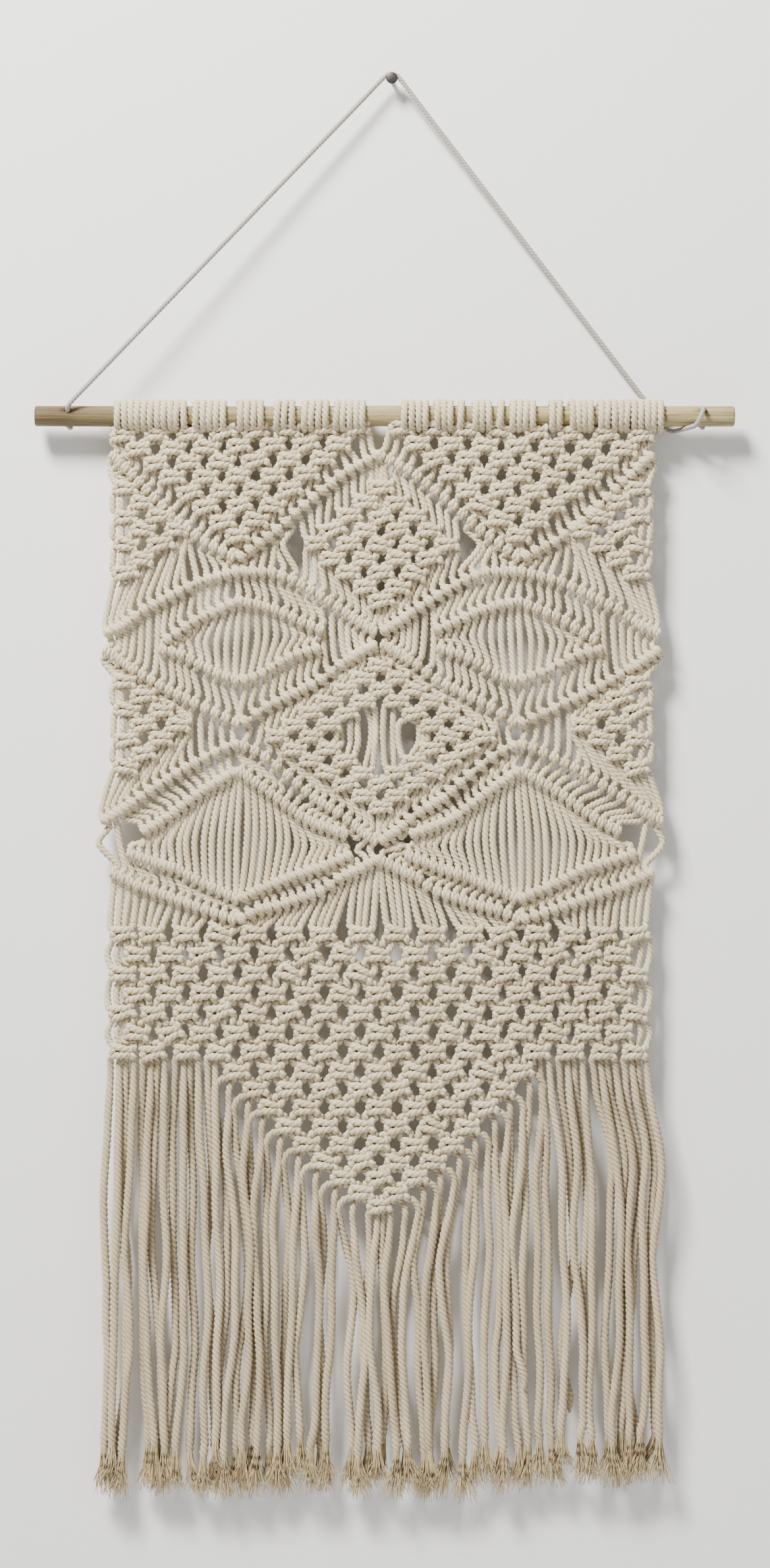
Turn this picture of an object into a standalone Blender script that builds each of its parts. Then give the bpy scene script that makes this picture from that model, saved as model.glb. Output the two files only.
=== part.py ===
"""A macrame wall hanging: knotted cotton rope on a wooden dowel, hung by a cord from a nail.

The origin is the middle of the nail's flat end, on the plane of the wall (y = 0). +X is to the
viewer's right, the front faces -Y and +Z is up. Lengths are in millimetres until a mesh is made:
x from the nail, and drop, the distance below the nail.
"""

import math

import bmesh
import bpy
from mathutils import Vector
from mathutils.geometry import delaunay_2d_cdt

MM = 0.001

# The nail and the dowel
NAIL_SHANK_RADIUS = 1.25
NAIL_HEAD_RADIUS = 3.5
NAIL_HEAD_BACK = -10.9
NAIL_FRONT = -12.4
DOWEL_RADIUS = 6.2
DOWEL_LEFT = -216.8
DOWEL_RIGHT = 208.0
DOWEL_DROP = 205.8
DOWEL_Y = -14.2
HOLE_RADIUS = 2.1
HOLE_RISE = math.radians(31.0)
HOLE_LEFT_X = -196.4
HOLE_RIGHT_X = 188.8

# The thinner cord that the dowel hangs from, and the air between it and the dowel
HANGER_RADIUS = 1.4
CLEAR = 0.3

# Half the depth of each kind of work, in front of and behind the panel's middle plane
KNOT_DEPTH = (4.6, 4.2)
LINE_DEPTH = (5.2, 3.8)
VALLEY_DEPTH = (1.9, 1.7)
STRAND_DEPTH = (2.2, 2.2)

# Each half hitch of a line stands out or lies back by this much
LUMPS = (-0.4, 0.5)
LUMP_PITCH = 12.5
VALLEY_PITCH = 22.0

# The least distance between the middle line of a ridge and the panel's side edge
EDGE_RIM = 2.6

# The band of legs round the dowel: the flats of its bore, its ridges, the grooves between them
# and its two ends, all from the dowel's axis
WRAP_SIDES = 6
WRAP_BORE = 6.55
WRAP_CREST = 10.7
WRAP_GROOVE = 9.6
WRAP_EDGE = 9.3

# Groups of rope legs over the dowel: left edge, right edge, number of legs
LEG_GROUPS = (
    (-168.2, -124.4, 11),
    (-120.8, -100.4, 5),
    (-94.0, -77.6, 4),
    (-71.6, -58.4, 3),
    (-54.8, -38.0, 4),
    (-35.2, -16.0, 5),
    (5.6, 22.4, 4),
    (25.6, 37.2, 3),
    (39.8, 44.2, 1),
    (48.8, 60.4, 3),
    (63.8, 68.2, 1),
    (71.6, 87.2, 4),
    (95.2, 103.6, 2),
    (107.6, 122.0, 4),
    (124.8, 164.8, 10),
)

# The panel's outline, clockwise from its upper left corner: x, drop
OUTLINE_TOP = (
    (-169.0, 213.0),
    (-92.0, 214.5),
    (-15.5, 213.5),
    (-12.0, 220.5),
    (3.5, 220.5),
    (6.5, 213.5),
    (86.0, 214.5),
    (164.5, 213.0),
)
OUTLINE_RIGHT = (
    (160.0, 224.0),
    (160.4, 286.0),
    (163.4, 338.0),
    (160.0, 360.0),
    (159.6, 405.0),
    (164.6, 455.0),
    (160.6, 500.0),
    (154.4, 521.6),
    (157.6, 532.0),
    (155.2, 544.0),
    (158.8, 556.0),
    (156.4, 567.0),
    (160.0, 580.0),
)
OUTLINE_LEFT = (
    (-169.2, 591.0),
    (-166.4, 580.0),
    (-171.0, 566.0),
    (-168.0, 555.0),
    (-170.8, 544.0),
    (-167.2, 532.0),
    (-168.0, 514.8),
    (-174.8, 472.0),
    (-178.4, 453.2),
    (-174.4, 445.0),
    (-171.2, 410.0),
    (-172.4, 382.0),
    (-175.6, 341.2),
    (-174.0, 334.0),
    (-172.8, 286.4),
    (-172.8, 238.8),
    (-166.0, 222.0),
)

# The hem, from right to left: x, drop. It is level at both sides and a V between.
HEM = (
    (160.5, 590.0),
    (101.0, 592.0),
    (84.0, 600.0),
    (58.0, 626.5),
    (30.0, 656.0),
    (4.0, 684.0),
    (-7.0, 694.0),
    (-18.0, 684.0),
    (-44.0, 658.0),
    (-72.0, 629.5),
    (-98.0, 605.0),
    (-114.0, 598.0),
    (-171.0, 597.0),
)

# Lines of half hitches in the left column: x and drop of the outer end, of a point halfway,
# of the tip, of a point halfway back and of the inner end. The right column mirrors them.
MIRROR_X = -7.0
HITCH_LINES = (
    ((-168.0, 229.0), (-134.0, 266.4), (-94.0, 293.0), (-50.0, 257.2), (-7.0, 228.0)),
    ((-171.0, 336.0), (-134.0, 314.0), (-94.0, 300.6), (-50.0, 311.5), (-7.0, 338.5)),
    ((-138.8, 343.2), (-117.6, 329.2), (-93.8, 318.4), (-68.0, 324.8), (-41.0, 336.0)),
    ((-141.6, 346.8), (-117.6, 356.0), (-92.8, 367.0), (-68.0, 355.6), (-43.0, 346.0)),
    ((-171.0, 346.0), (-134.0, 372.4), (-93.0, 392.8), (-50.0, 370.0), (-7.0, 345.0)),
    ((-172.0, 452.0), (-134.0, 425.2), (-93.0, 404.8), (-53.6, 431.6), (-7.0, 464.0)),
    ((-152.0, 458.0), (-122.0, 438.4), (-93.6, 420.4), (-64.4, 441.6), (-34.0, 458.0)),
    ((-158.0, 470.4), (-130.4, 480.4), (-93.0, 498.8), (-53.6, 482.4), (-28.0, 472.0)),
    ((-170.8, 482.0), (-134.0, 498.0), (-93.6, 510.4), (-53.6, 496.8), (-7.0, 474.0)),
)
V_TOP, ROOF_1, EYE_1_TOP, EYE_1_FOOT, V_1, ROOF_2, EYE_2_TOP, EYE_2_FOOT, V_2 = range(9)
EYES = (
    # line above, line below, first x, last x, strands, how far the end strands bow outward
    (EYE_1_TOP, EYE_1_FOOT, -127.0, -49.5, 17, 2.4),
    (EYE_2_TOP, EYE_2_FOOT, -156.0, -29.0, 28, 1.6),
)

# Square knots in alternating rows. Each net in the left half and the centre: x and drop of its
# first gap, the step to the next half column, the step down a row, the gap's half width and
# half height, and for each row of gaps the first half column and the number of gaps.
NETS = (
    ("triangle", -153.2, 217.6, 10.08, 8.64, 2.0, 2.8,
     ((0, 0), (1, 6), (2, 5), (3, 4), (4, 3), (5, 2), (6, 1))),
    ("edge 1", -158.0, 259.6, 9.6, 9.2, 1.8, 2.6, ((0, 1), (1, 1), (0, 2), (1, 1), (0, 1))),
    ("edge 2", -156.4, 378.8, 10.7, 8.9, 2.0, 2.8, ((0, 1), (1, 1), (0, 2), (1, 1), (0, 1))),
    ("diamond", -35.8, 257.9, 9.6, 8.56, 2.0, 2.8,
     ((3, 1), (2, 2), (1, 3), (0, 4), (1, 3), (2, 2), (3, 1))),
)
KNOT_HALF_WIDTH = 3.7

# The ring: its middle, its steps, how many half columns out its gaps lie, and their half size
RING = (-7.0, 400.4, 10.4, 7.15)
RING_STEPS = 5
RING_GAP = (2.0, 2.6)

# The lower net: level rows across the whole width, then a V that loses half a column a row
LOWER_X = -6.8
LOWER_DROP = 522.0
LOWER_STEP = 10.3
LOWER_ROW = 11.44
LOWER_V_ROW = 11.0
LOWER_LEVEL_ROWS = 6
LOWER_ROWS = 15
LOWER_COLUMNS = 14
LOWER_HALF_COLUMNS = 16
LOWER_STRETCH = 0.06
LOWER_TILT = -0.013
LOWER_GAP = (2.4, 3.4)

# The strands of an eye: how far inside the two lines they start, and where the gaps between them
# start and how wide they are
EYE_CREST_INSET = 3.0
EYE_GAP_INSET = 5.4
EYE_GAP_HALF = 0.6
EYE_GAP_SHORTEST = 4.0

# Open gaps among the loose strands: x, top, foot and width
GAPS = (
    (-57.4, 277.0, 299.0, 3.8),
    (46.0, 272.0, 299.0, 5.6),
    (-36.2, 336.5, 352.5, 4.4),
    (22.0, 331.0, 352.0, 4.4),
    (-82.4, 393.4, 400.4, 4.6),
    (-113.6, 388.6, 397.0, 4.2),
    (67.6, 393.4, 400.4, 4.6),
    (-17.4, 463.4, 472.4, 4.4),
    (2.6, 463.4, 471.4, 4.2),
    (-26.8, 390.0, 407.4, 4.2),
    (-14.2, 384.0, 413.6, 4.6),
    (0.2, 385.0, 413.0, 4.2),
    (12.8, 390.0, 408.0, 5.2),
    (134.8, 336.4, 345.4, 4.2),
    (-7.0, 482.0, 512.0, 4.2),
    (-168.6, 457.4, 476.0, 5.6),
    (154.4, 453.4, 469.0, 5.8),
)

# The fringe: strands in a bunch, its middle x at three drops, and the drop of the strands' ends
FRINGE_LEVELS = (653.0, 725.0, 815.0)
FRINGE_BUNCHES = (
    (1, -173.6, -172.0, -172.0),
    (3, -162.0, -162.0, -165.4),
    (2, -149.2, -148.6, -146.4),
    (1, -136.0, -135.4, -137.2),
    (2, -124.4, -123.0, -124.0),
    (2, -110.4, -110.2, -109.8),
    (2, -100.8, -100.8, -101.2),
    (2, -91.6, -90.2, -91.2),
    (2, -82.4, -82.0, -82.6),
    (2, -73.2, -73.2, -73.6),
    (2, -62.0, -63.4, -65.2),
    (1, -53.2, -54.4, -57.2),
    (4, -41.6, -41.2, -41.6),
    (6, -17.0, -17.0, -17.2),
    (2, -3.0, -3.4, -2.6),
    (3, 4.6, 4.8, 8.0),
    (1, 13.6, 13.8, 17.2),
    (2, 22.4, 22.6, 24.0),
    (2, 33.2, 32.8, 33.4),
    (1, 43.2, 43.4, 41.6),
    (1, 49.2, 49.2, 50.0),
    (1, 56.8, 56.8, 57.6),
    (1, 63.2, 63.4, 64.4),
    (3, 72.8, 73.4, 74.6),
    (1, 81.6, 81.0, 82.0),
    (1, 89.6, 90.6, 91.0),
    (1, 96.8, 97.0, 98.4),
    (3, 108.0, 108.4, 107.6),
    (2, 119.6, 118.8, 117.6),
    (7, 148.0, 146.4, 146.0),
)
STRAND_PITCH = 4.4
STRAND_RADIUS = 2.3
STRAND_LAYER = 2.5
ROOT_INSET = 3.4
FAN_LENGTH = 26.0
FAN_BULGE = 2.0
LEVEL_APART = 12.0
FRINGE_FOOT = (
    (-176.0, 855.2),
    (-124.8, 861.4),
    (-78.0, 856.0),
    (-27.0, 859.4),
    (39.0, 860.6),
    (84.0, 855.2),
    (120.0, 848.8),
    (137.0, 852.0),
    (162.0, 846.8),
)
# Section of the strip that holds the fringe's roots: distance below the hem, and depth
ROOT_STRIP = ((0.4, -2.6), (3.4, -5.4), (8.0, -4.8), (8.0, 4.8), (3.4, 5.4), (0.4, 2.6))
ROOT_STRIP_FLOOR = 5.6

# The hanger cord: the least radius of its bends, its corner over the nail, and how far right and
# how near the wall it is where it leaves the back of the rope wraps
BEND = 5.6
NAIL_CORNER = (0.2, -9.0, 6.0)
BEHIND_X = 165.0
BEHIND_Y = -1.5
WRAP_RADIUS = DOWEL_RADIUS + HANGER_RADIUS + CLEAR
KNOT_RADIUS = 3.2
KNOT_HALF = 2.2


class Sheet:
    """A flat piece of work, drawn from the front as points with a depth, edges and holes."""

    def __init__(self):
        self.points = []
        self.depths = []
        self.edges = []
        self.loops = []

    def point(self, x, drop, depth):
        self.points.append((x, drop))
        self.depths.append(depth)
        return len(self.points) - 1

    def chain(self, indices, closed=False):
        ends = indices[1:] + indices[:1] if closed else indices[1:]
        self.edges.extend(zip(indices, ends))

    def loop(self, corners):
        """A closed outline whose rim has no depth: the first is the sheet's own, the rest are gaps."""
        self.loops.append([self.point(x, drop, None) for x, drop in corners])

    def triangulated(self):
        """Points, depths and triangles. A flat bridge from rim to rim gets a point with depth."""
        while True:
            coords = [Vector(point) for point in self.points]
            found = delaunay_2d_cdt(coords, self.edges, self.loops, 0, 1e-5, True)
            points, _, faces, from_points, _, from_loops = found
            depths = [self.depth_at(sources) for sources in from_points]
            kept = [face for face, inside in zip(faces, from_loops) if set(inside) == {0}]
            uses = {}
            for face in kept:
                for a, b in zip(face, face[1:] + face[:1]):
                    key = (min(a, b), max(a, b))
                    uses[key] = uses.get(key, 0) + 1
            rim = {end for key, count in uses.items() if count == 1 for end in key}
            bridges = [key for key, count in uses.items() if count == 2 and rim.issuperset(key)]
            if not bridges:
                return points, depths, kept, rim
            for a, b in bridges:
                middle = (points[a] + points[b]) / 2
                self.point(middle.x, middle.y, VALLEY_DEPTH)

    def depth_at(self, sources):
        given = [self.depths[index] for index in sources]
        if not given:
            return VALLEY_DEPTH
        return None if None in given else max(given)

    def mesh(self, name, middle_y):
        points, depths, faces, rim = self.triangulated()
        mesh = bmesh.new()
        front, back = {}, {}
        for face in faces:
            for index in face:
                if index in front:
                    continue
                x, drop = points[index]
                ahead, behind = (0.0, 0.0) if index in rim else (depths[index] or VALLEY_DEPTH)
                front[index] = mesh.verts.new((x * MM, (middle_y - ahead) * MM, -drop * MM))
                back[index] = front[index]
                if index not in rim:
                    back[index] = mesh.verts.new((x * MM, (middle_y + behind) * MM, -drop * MM))
        for face in faces:
            mesh.faces.new([front[index] for index in face])
            mesh.faces.new([back[index] for index in reversed(face)])
        bmesh.ops.recalc_face_normals(mesh, faces=mesh.faces)
        return finished(name, mesh)


def finished(name, mesh):
    data = bpy.data.meshes.new(name)
    mesh.to_mesh(data)
    mesh.free()
    piece = bpy.data.objects.new(name, data)
    bpy.context.scene.collection.objects.link(piece)
    return piece


def material(name, colour, roughness, metallic=0.0):
    made = bpy.data.materials.new(name)
    made.use_nodes = True
    shader = made.node_tree.nodes["Principled BSDF"]
    shader.inputs["Base Color"].default_value = (*colour, 1.0)
    shader.inputs["Roughness"].default_value = roughness
    shader.inputs["Metallic"].default_value = metallic
    return made


def mirrored(points):
    return [(2 * MIRROR_X - x, drop) for x, drop in points]


def height_on(line, x):
    """The drop of a line at x, straight between its points."""
    for (x0, drop0), (x1, drop1) in zip(line, line[1:]):
        if min(x0, x1) <= x <= max(x0, x1):
            return drop0 + (drop1 - drop0) * (x - x0) / (x1 - x0)
    return line[0][1] if x < min(line[0][0], line[-1][0]) else line[-1][1]


def edge_at(edge, drop):
    """The x of a side edge, given from its upper to its lower end, at a drop."""
    for (x0, drop0), (x1, drop1) in zip(edge, edge[1:]):
        if drop0 <= drop <= drop1:
            return x0 + (x1 - x0) * (drop - drop0) / (drop1 - drop0)
    return edge[0][0] if drop < edge[0][1] else edge[-1][0]


def inside(x, drop):
    """The point, moved in from the side edges where it lies too near them."""
    left = edge_at(OUTLINE_LEFT[::-1], drop) + EDGE_RIM
    right = edge_at(OUTLINE_RIGHT, drop) - EDGE_RIM
    return min(max(x, left), right), drop


def diamond_gap(sheet, x, drop, half_width, half_height):
    sheet.loop((
        (x, drop - half_height),
        (x + half_width, drop),
        (x, drop + half_height),
        (x - half_width, drop),
    ))


def slot_gap(sheet, x, top, foot, width):
    half = width / 2
    sheet.loop((
        (x, top),
        (x + half, top + half),
        (x + half, foot - half),
        (x, foot),
        (x - half, foot - half),
        (x - half, top + half),
    ))


class Net:
    """Square knots in alternating rows, as ridges round the gaps between them."""

    def __init__(self, sheet, place):
        self.sheet = sheet
        self.place = place
        self.knots = {}

    def knot(self, column, row):
        """The left and right end of a knot's ridge."""
        if (column, row) not in self.knots:
            x, drop = self.place(column, row)
            ends = []
            for side in (-1, 1):
                end_x, end_drop = inside(x + side * KNOT_HALF_WIDTH, drop)
                ends.append(self.sheet.point(end_x, end_drop, KNOT_DEPTH))
            self.sheet.chain(ends)
            self.knots[column, row] = ends
        return self.knots[column, row]

    def gap(self, column, row, half_width, half_height):
        x, drop = self.place(column, row)
        near, far = self.knot(column - 1, row), self.knot(column + 1, row)
        above, below = self.knot(column, row - 1), self.knot(column, row + 1)
        if x < self.place(column - 1, row)[0]:
            near, far = far, near
        ring = [near[1], above[0], above[1], far[0], below[1], below[0]]
        self.sheet.chain(ring, closed=True)
        diamond_gap(self.sheet, x, drop, half_width, half_height)


def small_nets(sheet):
    for name, x, drop, step, row_step, half_width, half_height, rows in NETS:
        sides = (1,) if name == "diamond" else (1, -1)
        for side in sides:
            def place(column, row):
                across = x + column * step
                return (across if side > 0 else 2 * MIRROR_X - across), drop + row * row_step

            net = Net(sheet, place)
            for row, (first, count) in enumerate(rows):
                for gap in range(count):
                    net.gap(first + 2 * gap, row, half_width, half_height)


def ring_net(sheet):
    middle_x, middle_drop, step, row_step = RING
    net = Net(sheet, lambda column, row: (middle_x + column * step, middle_drop + row * row_step))
    for column in range(-RING_STEPS, RING_STEPS + 1):
        reach = RING_STEPS - abs(column)
        for row in {-reach, reach}:
            net.gap(column, row, *RING_GAP)


def lower_place(column, row):
    share = column / LOWER_HALF_COLUMNS
    across = LOWER_STEP * column * (1 + LOWER_STRETCH * (1 - share * share))
    down = LOWER_ROW * min(row, LOWER_LEVEL_ROWS) + LOWER_V_ROW * max(row - LOWER_LEVEL_ROWS, 0)
    return LOWER_X + across, LOWER_DROP + down + LOWER_TILT * across


def lower_net(sheet):
    net = Net(sheet, lower_place)
    for row in range(LOWER_ROWS):
        level = row < LOWER_LEVEL_ROWS
        reach = LOWER_COLUMNS - (row % 2 if level else row)
        for column in range(-reach, reach + 1, 2):
            net.gap(column, row, *LOWER_GAP)


def hitch_lines(sheet):
    """Two lines side by side frame each eye; all of them run as ridges across the panel."""
    for line in HITCH_LINES:
        for route in (line, mirrored(line)):
            ends = sorted((route[0][0], route[-1][0]))
            steps = round((ends[1] - ends[0]) / LUMP_PITCH)
            tip = route[2][0]
            places = [ends[0] + (ends[1] - ends[0]) * step / steps for step in range(steps + 1)]
            nearest = min(range(steps + 1), key=lambda step: abs(places[step] - tip))
            places[nearest] = tip
            crest = []
            for index, x in enumerate(places):
                ahead, behind = LINE_DEPTH
                lump = LUMPS[index % 2]
                spot = inside(x, height_on(route, x))
                crest.append(sheet.point(*spot, (ahead + lump, behind + lump)))
            sheet.chain(crest)


def valleys(sheet):
    """The thinner work between two lines that run side by side."""
    for upper, lower in ((ROOF_1, EYE_1_TOP), (EYE_1_FOOT, V_1), (ROOF_2, EYE_2_TOP), (EYE_2_FOOT, V_2)):
        lines = HITCH_LINES[upper], HITCH_LINES[lower]
        first = max(min(line[0][0], line[-1][0]) for line in lines)
        last = min(max(line[0][0], line[-1][0]) for line in lines)
        steps = round((last - first) / VALLEY_PITCH)
        middle = []
        for step in range(steps + 1):
            x = first + (last - first) * step / steps
            middle.append((x, sum(height_on(line, x) for line in lines) / 2))
        for route in (middle, mirrored(middle)):
            sheet.chain([sheet.point(*inside(x, drop), VALLEY_DEPTH) for x, drop in route])


def eye_strands(sheet):
    """Loose strands side by side from the line above an eye to the line below it."""
    for above, below, first, last, count, bow in EYES:
        pitch = (last - first) / (count - 1)
        middle, half = (first + last) / 2, (last - first) / 2
        for flip in (False, True):
            def spot(x, share, inset):
                top = height_on(HITCH_LINES[above], x) + inset
                foot = height_on(HITCH_LINES[below], x) - inset
                lean = bow * ((x - middle) / half) ** 3 * math.sin(math.pi * share)
                place = x + lean, top + (foot - top) * share
                return mirrored([place])[0] if flip else place

            for index in range(count):
                x = first + index * pitch
                crest = [
                    sheet.point(*spot(x, share, EYE_CREST_INSET), STRAND_DEPTH)
                    for share in (0, 0.5, 1)
                ]
                sheet.chain(crest)
                between = x + pitch / 2
                length = spot(between, 1, EYE_GAP_INSET)[1] - spot(between, 0, EYE_GAP_INSET)[1]
                if index == count - 1 or length < EYE_GAP_SHORTEST:
                    continue
                corners = []
                for share, shift in ((0, 0), (0.5, 1), (1, 0), (0.5, -1)):
                    x_at, drop_at = spot(between, share, EYE_GAP_INSET)
                    corners.append((x_at + shift * EYE_GAP_HALF, drop_at))
                sheet.loop(corners)


def panel_sheet():
    sheet = Sheet()
    sheet.loop((*OUTLINE_TOP, *OUTLINE_RIGHT, *HEM, *OUTLINE_LEFT))
    small_nets(sheet)
    ring_net(sheet)
    lower_net(sheet)
    hitch_lines(sheet)
    valleys(sheet)
    eye_strands(sheet)
    for gap in GAPS:
        slot_gap(sheet, *gap)
    return sheet.mesh("knotted_panel", DOWEL_Y)


def ring_stack(mesh, rings, capped=True):
    """Faces between rings of vertices, one after another, and a face at each end if it is capped."""
    made = [[mesh.verts.new(Vector(spot) * MM) for spot in ring] for ring in rings]
    for ring, after in zip(made, made[1:]):
        for index in range(len(ring)):
            beyond = (index + 1) % len(ring)
            mesh.faces.new((ring[index], ring[beyond], after[beyond], after[index]))
    if capped:
        mesh.faces.new(made[0][::-1])
        mesh.faces.new(made[-1])


def wraps():
    """Each group of legs as one band round the dowel, with a ridge for each leg."""
    mesh = bmesh.new()
    for left, right, legs in LEG_GROUPS:
        profile = []
        for step in range(2 * legs + 1):
            x = left + (right - left) * step / (2 * legs)
            at_edge = step in (0, 2 * legs)
            profile.append((x, WRAP_EDGE if at_edge else WRAP_CREST if step % 2 else WRAP_GROOVE))
        inner = WRAP_BORE / math.cos(math.pi / WRAP_SIDES)
        profile += [(right, inner), (left, inner)]
        rings = []
        for x, radius in profile:
            turns = [2 * math.pi * side / WRAP_SIDES for side in range(WRAP_SIDES)]
            rings.append([
                (x, DOWEL_Y - radius * math.cos(turn), -DOWEL_DROP + radius * math.sin(turn))
                for turn in turns
            ])
        ring_stack(mesh, [*rings, rings[0]], capped=False)
    bmesh.ops.remove_doubles(mesh, verts=mesh.verts, dist=1e-6)
    bmesh.ops.recalc_face_normals(mesh, faces=mesh.faces)
    return finished("dowel_wraps", mesh)


def combined(piece, other, operation):
    """A Boolean with a helper that isn't a piece of its own."""
    change = piece.modifiers.new(operation.title(), "BOOLEAN")
    change.operation = operation
    change.solver = "EXACT"
    change.object = other
    other.hide_render = True
    other.display_type = "WIRE"


def turned(name, profile, sides, centre, axis):
    """A body of revolution: radius and distance along the axis, from one end to the other."""
    axis = Vector(axis).normalized()
    across = axis.orthogonal().normalized()
    up = axis.cross(across)
    mesh = bmesh.new()
    rings = []
    for radius, along in profile:
        turns = [2 * math.pi * side / sides for side in range(sides)]
        middle = Vector(centre) + axis * along
        rings.append([
            middle + (across * math.cos(turn) + up * math.sin(turn)) * radius for turn in turns
        ])
    ring_stack(mesh, rings)
    bmesh.ops.recalc_face_normals(mesh, faces=mesh.faces)
    piece = finished(name, mesh)
    for polygon in piece.data.polygons:
        polygon.use_smooth = len(polygon.vertices) == 4
    return piece


def hole_axis():
    """From the dowel's axis out through the front mouth of a hole."""
    return Vector((0.0, -math.cos(HOLE_RISE), math.sin(HOLE_RISE)))


def dowel():
    chamfer = 0.7
    profile = (
        (DOWEL_RADIUS - chamfer, DOWEL_LEFT),
        (DOWEL_RADIUS, DOWEL_LEFT + chamfer),
        (DOWEL_RADIUS, DOWEL_RIGHT - chamfer),
        (DOWEL_RADIUS - chamfer, DOWEL_RIGHT),
    )
    piece = turned("dowel", profile, 24, (0.0, DOWEL_Y, -DOWEL_DROP), (1, 0, 0))
    for side, x in (("left", HOLE_LEFT_X), ("right", HOLE_RIGHT_X)):
        reach = DOWEL_RADIUS + 2.0
        drill = turned(
            "drill_" + side, ((HOLE_RADIUS, -reach), (HOLE_RADIUS, reach)), 12,
            (x, DOWEL_Y, -DOWEL_DROP), hole_axis(),
        )
        combined(piece, drill, "DIFFERENCE")
    return piece


def nail():
    crown = 0.8
    profile = (
        (NAIL_SHANK_RADIUS, 0.0),
        (NAIL_SHANK_RADIUS, -NAIL_HEAD_BACK),
        (NAIL_HEAD_RADIUS, -NAIL_HEAD_BACK),
        (NAIL_HEAD_RADIUS, -NAIL_FRONT - crown),
        (NAIL_HEAD_RADIUS - crown, -NAIL_FRONT),
    )
    return turned("nail", profile, 16, (0.0, 0.0, 0.0), (0, -1, 0))


def stopper_knot(side, x):
    """An overhand knot drawn up against the back of the dowel."""
    middle = DOWEL_RADIUS + CLEAR + KNOT_HALF
    profile = [
        (KNOT_RADIUS * math.cos(lift), KNOT_HALF * math.sin(lift))
        for lift in (math.radians(angle) for angle in (-72, -40, 0, 40, 72))
    ]
    centre = Vector((x, DOWEL_Y, -DOWEL_DROP)) - hole_axis() * middle
    return turned("stopper_knot_" + side, profile, 12, centre, hole_axis())


def rounded_corner(before, corner, after, radius, step):
    """Points on an arc that rounds a corner between two straight stretches."""
    back = (before - corner).normalized()
    ahead = (after - corner).normalized()
    half = back.angle(ahead) / 2
    middle = corner + (back + ahead).normalized() * (radius / math.sin(half))
    first = (corner + back * (radius / math.tan(half)) - middle).normalized()
    last = (corner + ahead * (radius / math.tan(half)) - middle).normalized()
    count = max(2, round(first.angle(last) * radius / step))
    return [middle + first.slerp(last, index / count) * radius for index in range(count + 1)]


def straight(start, end, step):
    """Points between two ends, without the ends."""
    count = max(1, round((end - start).length / step))
    return [start.lerp(end, index / count) for index in range(1, count)]


def under_the_dowel(nail_corner):
    """From behind the wraps, under the dowel, out in a loop and into the right hole."""
    out = hole_axis()
    up = Vector((0.0, out.z, -out.y))
    centre = Vector((HOLE_RIGHT_X, DOWEL_Y, -DOWEL_DROP))
    loop_out, loop_up = DOWEL_RADIUS + CLEAR, -BEND
    lean = math.acos((WRAP_RADIUS - BEND) / math.hypot(loop_out, loop_up))
    leaving = math.atan2(loop_up, loop_out) - lean
    normal = out * math.cos(leaving) + up * math.sin(leaving)
    ahead = up * math.cos(leaving) - out * math.sin(leaving)
    tangent = centre + normal * WRAP_RADIUS
    corner = tangent - ahead * ((tangent.y - BEHIND_Y) / ahead.y)
    above = Vector((corner.x, nail_corner.y, nail_corner.z))
    spots = rounded_corner(above, corner, tangent, BEND, 2.2)
    loop = centre + out * loop_out + up * loop_up
    loop_start = loop + normal * BEND
    spots += straight(spots[-1], loop_start, 3.0)
    loop_steps = 10
    for index in range(loop_steps + 1):
        turn = leaving + (math.pi / 2 - leaving) * index / loop_steps
        spots.append(loop + (out * math.cos(turn) + up * math.sin(turn)) * BEND)
    return across_to_hole(spots, nail_corner)


def across_to_hole(spots, nail_corner):
    """Spreads the spots sideways: on along the leg's slope at first, then square to the hole."""
    slope = (BEHIND_X - nail_corner.x) / (nail_corner.z - spots[0].z)
    lengths = [0.0]
    for spot, after in zip(spots, spots[1:]):
        lengths.append(lengths[-1] + (after - spot).length)
    mean = (HOLE_RIGHT_X - BEHIND_X) / (slope * lengths[-1])
    power = mean / (1.0 - mean)
    for spot, length in zip(spots, lengths):
        share = length / lengths[-1]
        spot.x = BEHIND_X + slope * length * (1.0 - share**power / (power + 1.0))
    return spots


def hanger_route():
    """The cord's middle line, from its end in the left hole to its end in the right hole."""
    axis = hole_axis()
    left_axis = Vector((HOLE_LEFT_X, DOWEL_Y, -DOWEL_DROP))
    right_axis = Vector((HOLE_RIGHT_X, DOWEL_Y, -DOWEL_DROP))
    nail_corner = Vector(NAIL_CORNER)
    wrap = under_the_dowel(nail_corner)
    left_end = left_axis - axis * DOWEL_RADIUS
    left_corner = left_axis + axis * (DOWEL_RADIUS + 4.4)
    corner = rounded_corner(left_end, left_corner, nail_corner, BEND, 2.2)
    over_nail = rounded_corner(left_corner, nail_corner, wrap[0], BEND, 2.0)
    leg_step = 20.0
    right_end = right_axis - axis * DOWEL_RADIUS
    return [
        left_end,
        *straight(left_end, corner[0], 5.0),
        *corner,
        *straight(corner[-1], over_nail[0], leg_step),
        *over_nail,
        *straight(over_nail[-1], wrap[0], leg_step),
        *wrap,
        *straight(wrap[-1], right_end, 5.0),
        right_end,
    ]


def hanger_cord():
    route = hanger_route()
    data = bpy.data.curves.new("hanger_cord", "CURVE")
    data.dimensions = "3D"
    data.bevel_depth = HANGER_RADIUS * MM
    data.bevel_resolution = 2
    data.use_fill_caps = True
    spline = data.splines.new("POLY")
    spline.points.add(len(route) - 1)
    for point, spot in zip(spline.points, route):
        point.co = (*(spot * MM), 1.0)
    piece = bpy.data.objects.new("hanger_cord", data)
    bpy.context.scene.collection.objects.link(piece)
    return piece


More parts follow.
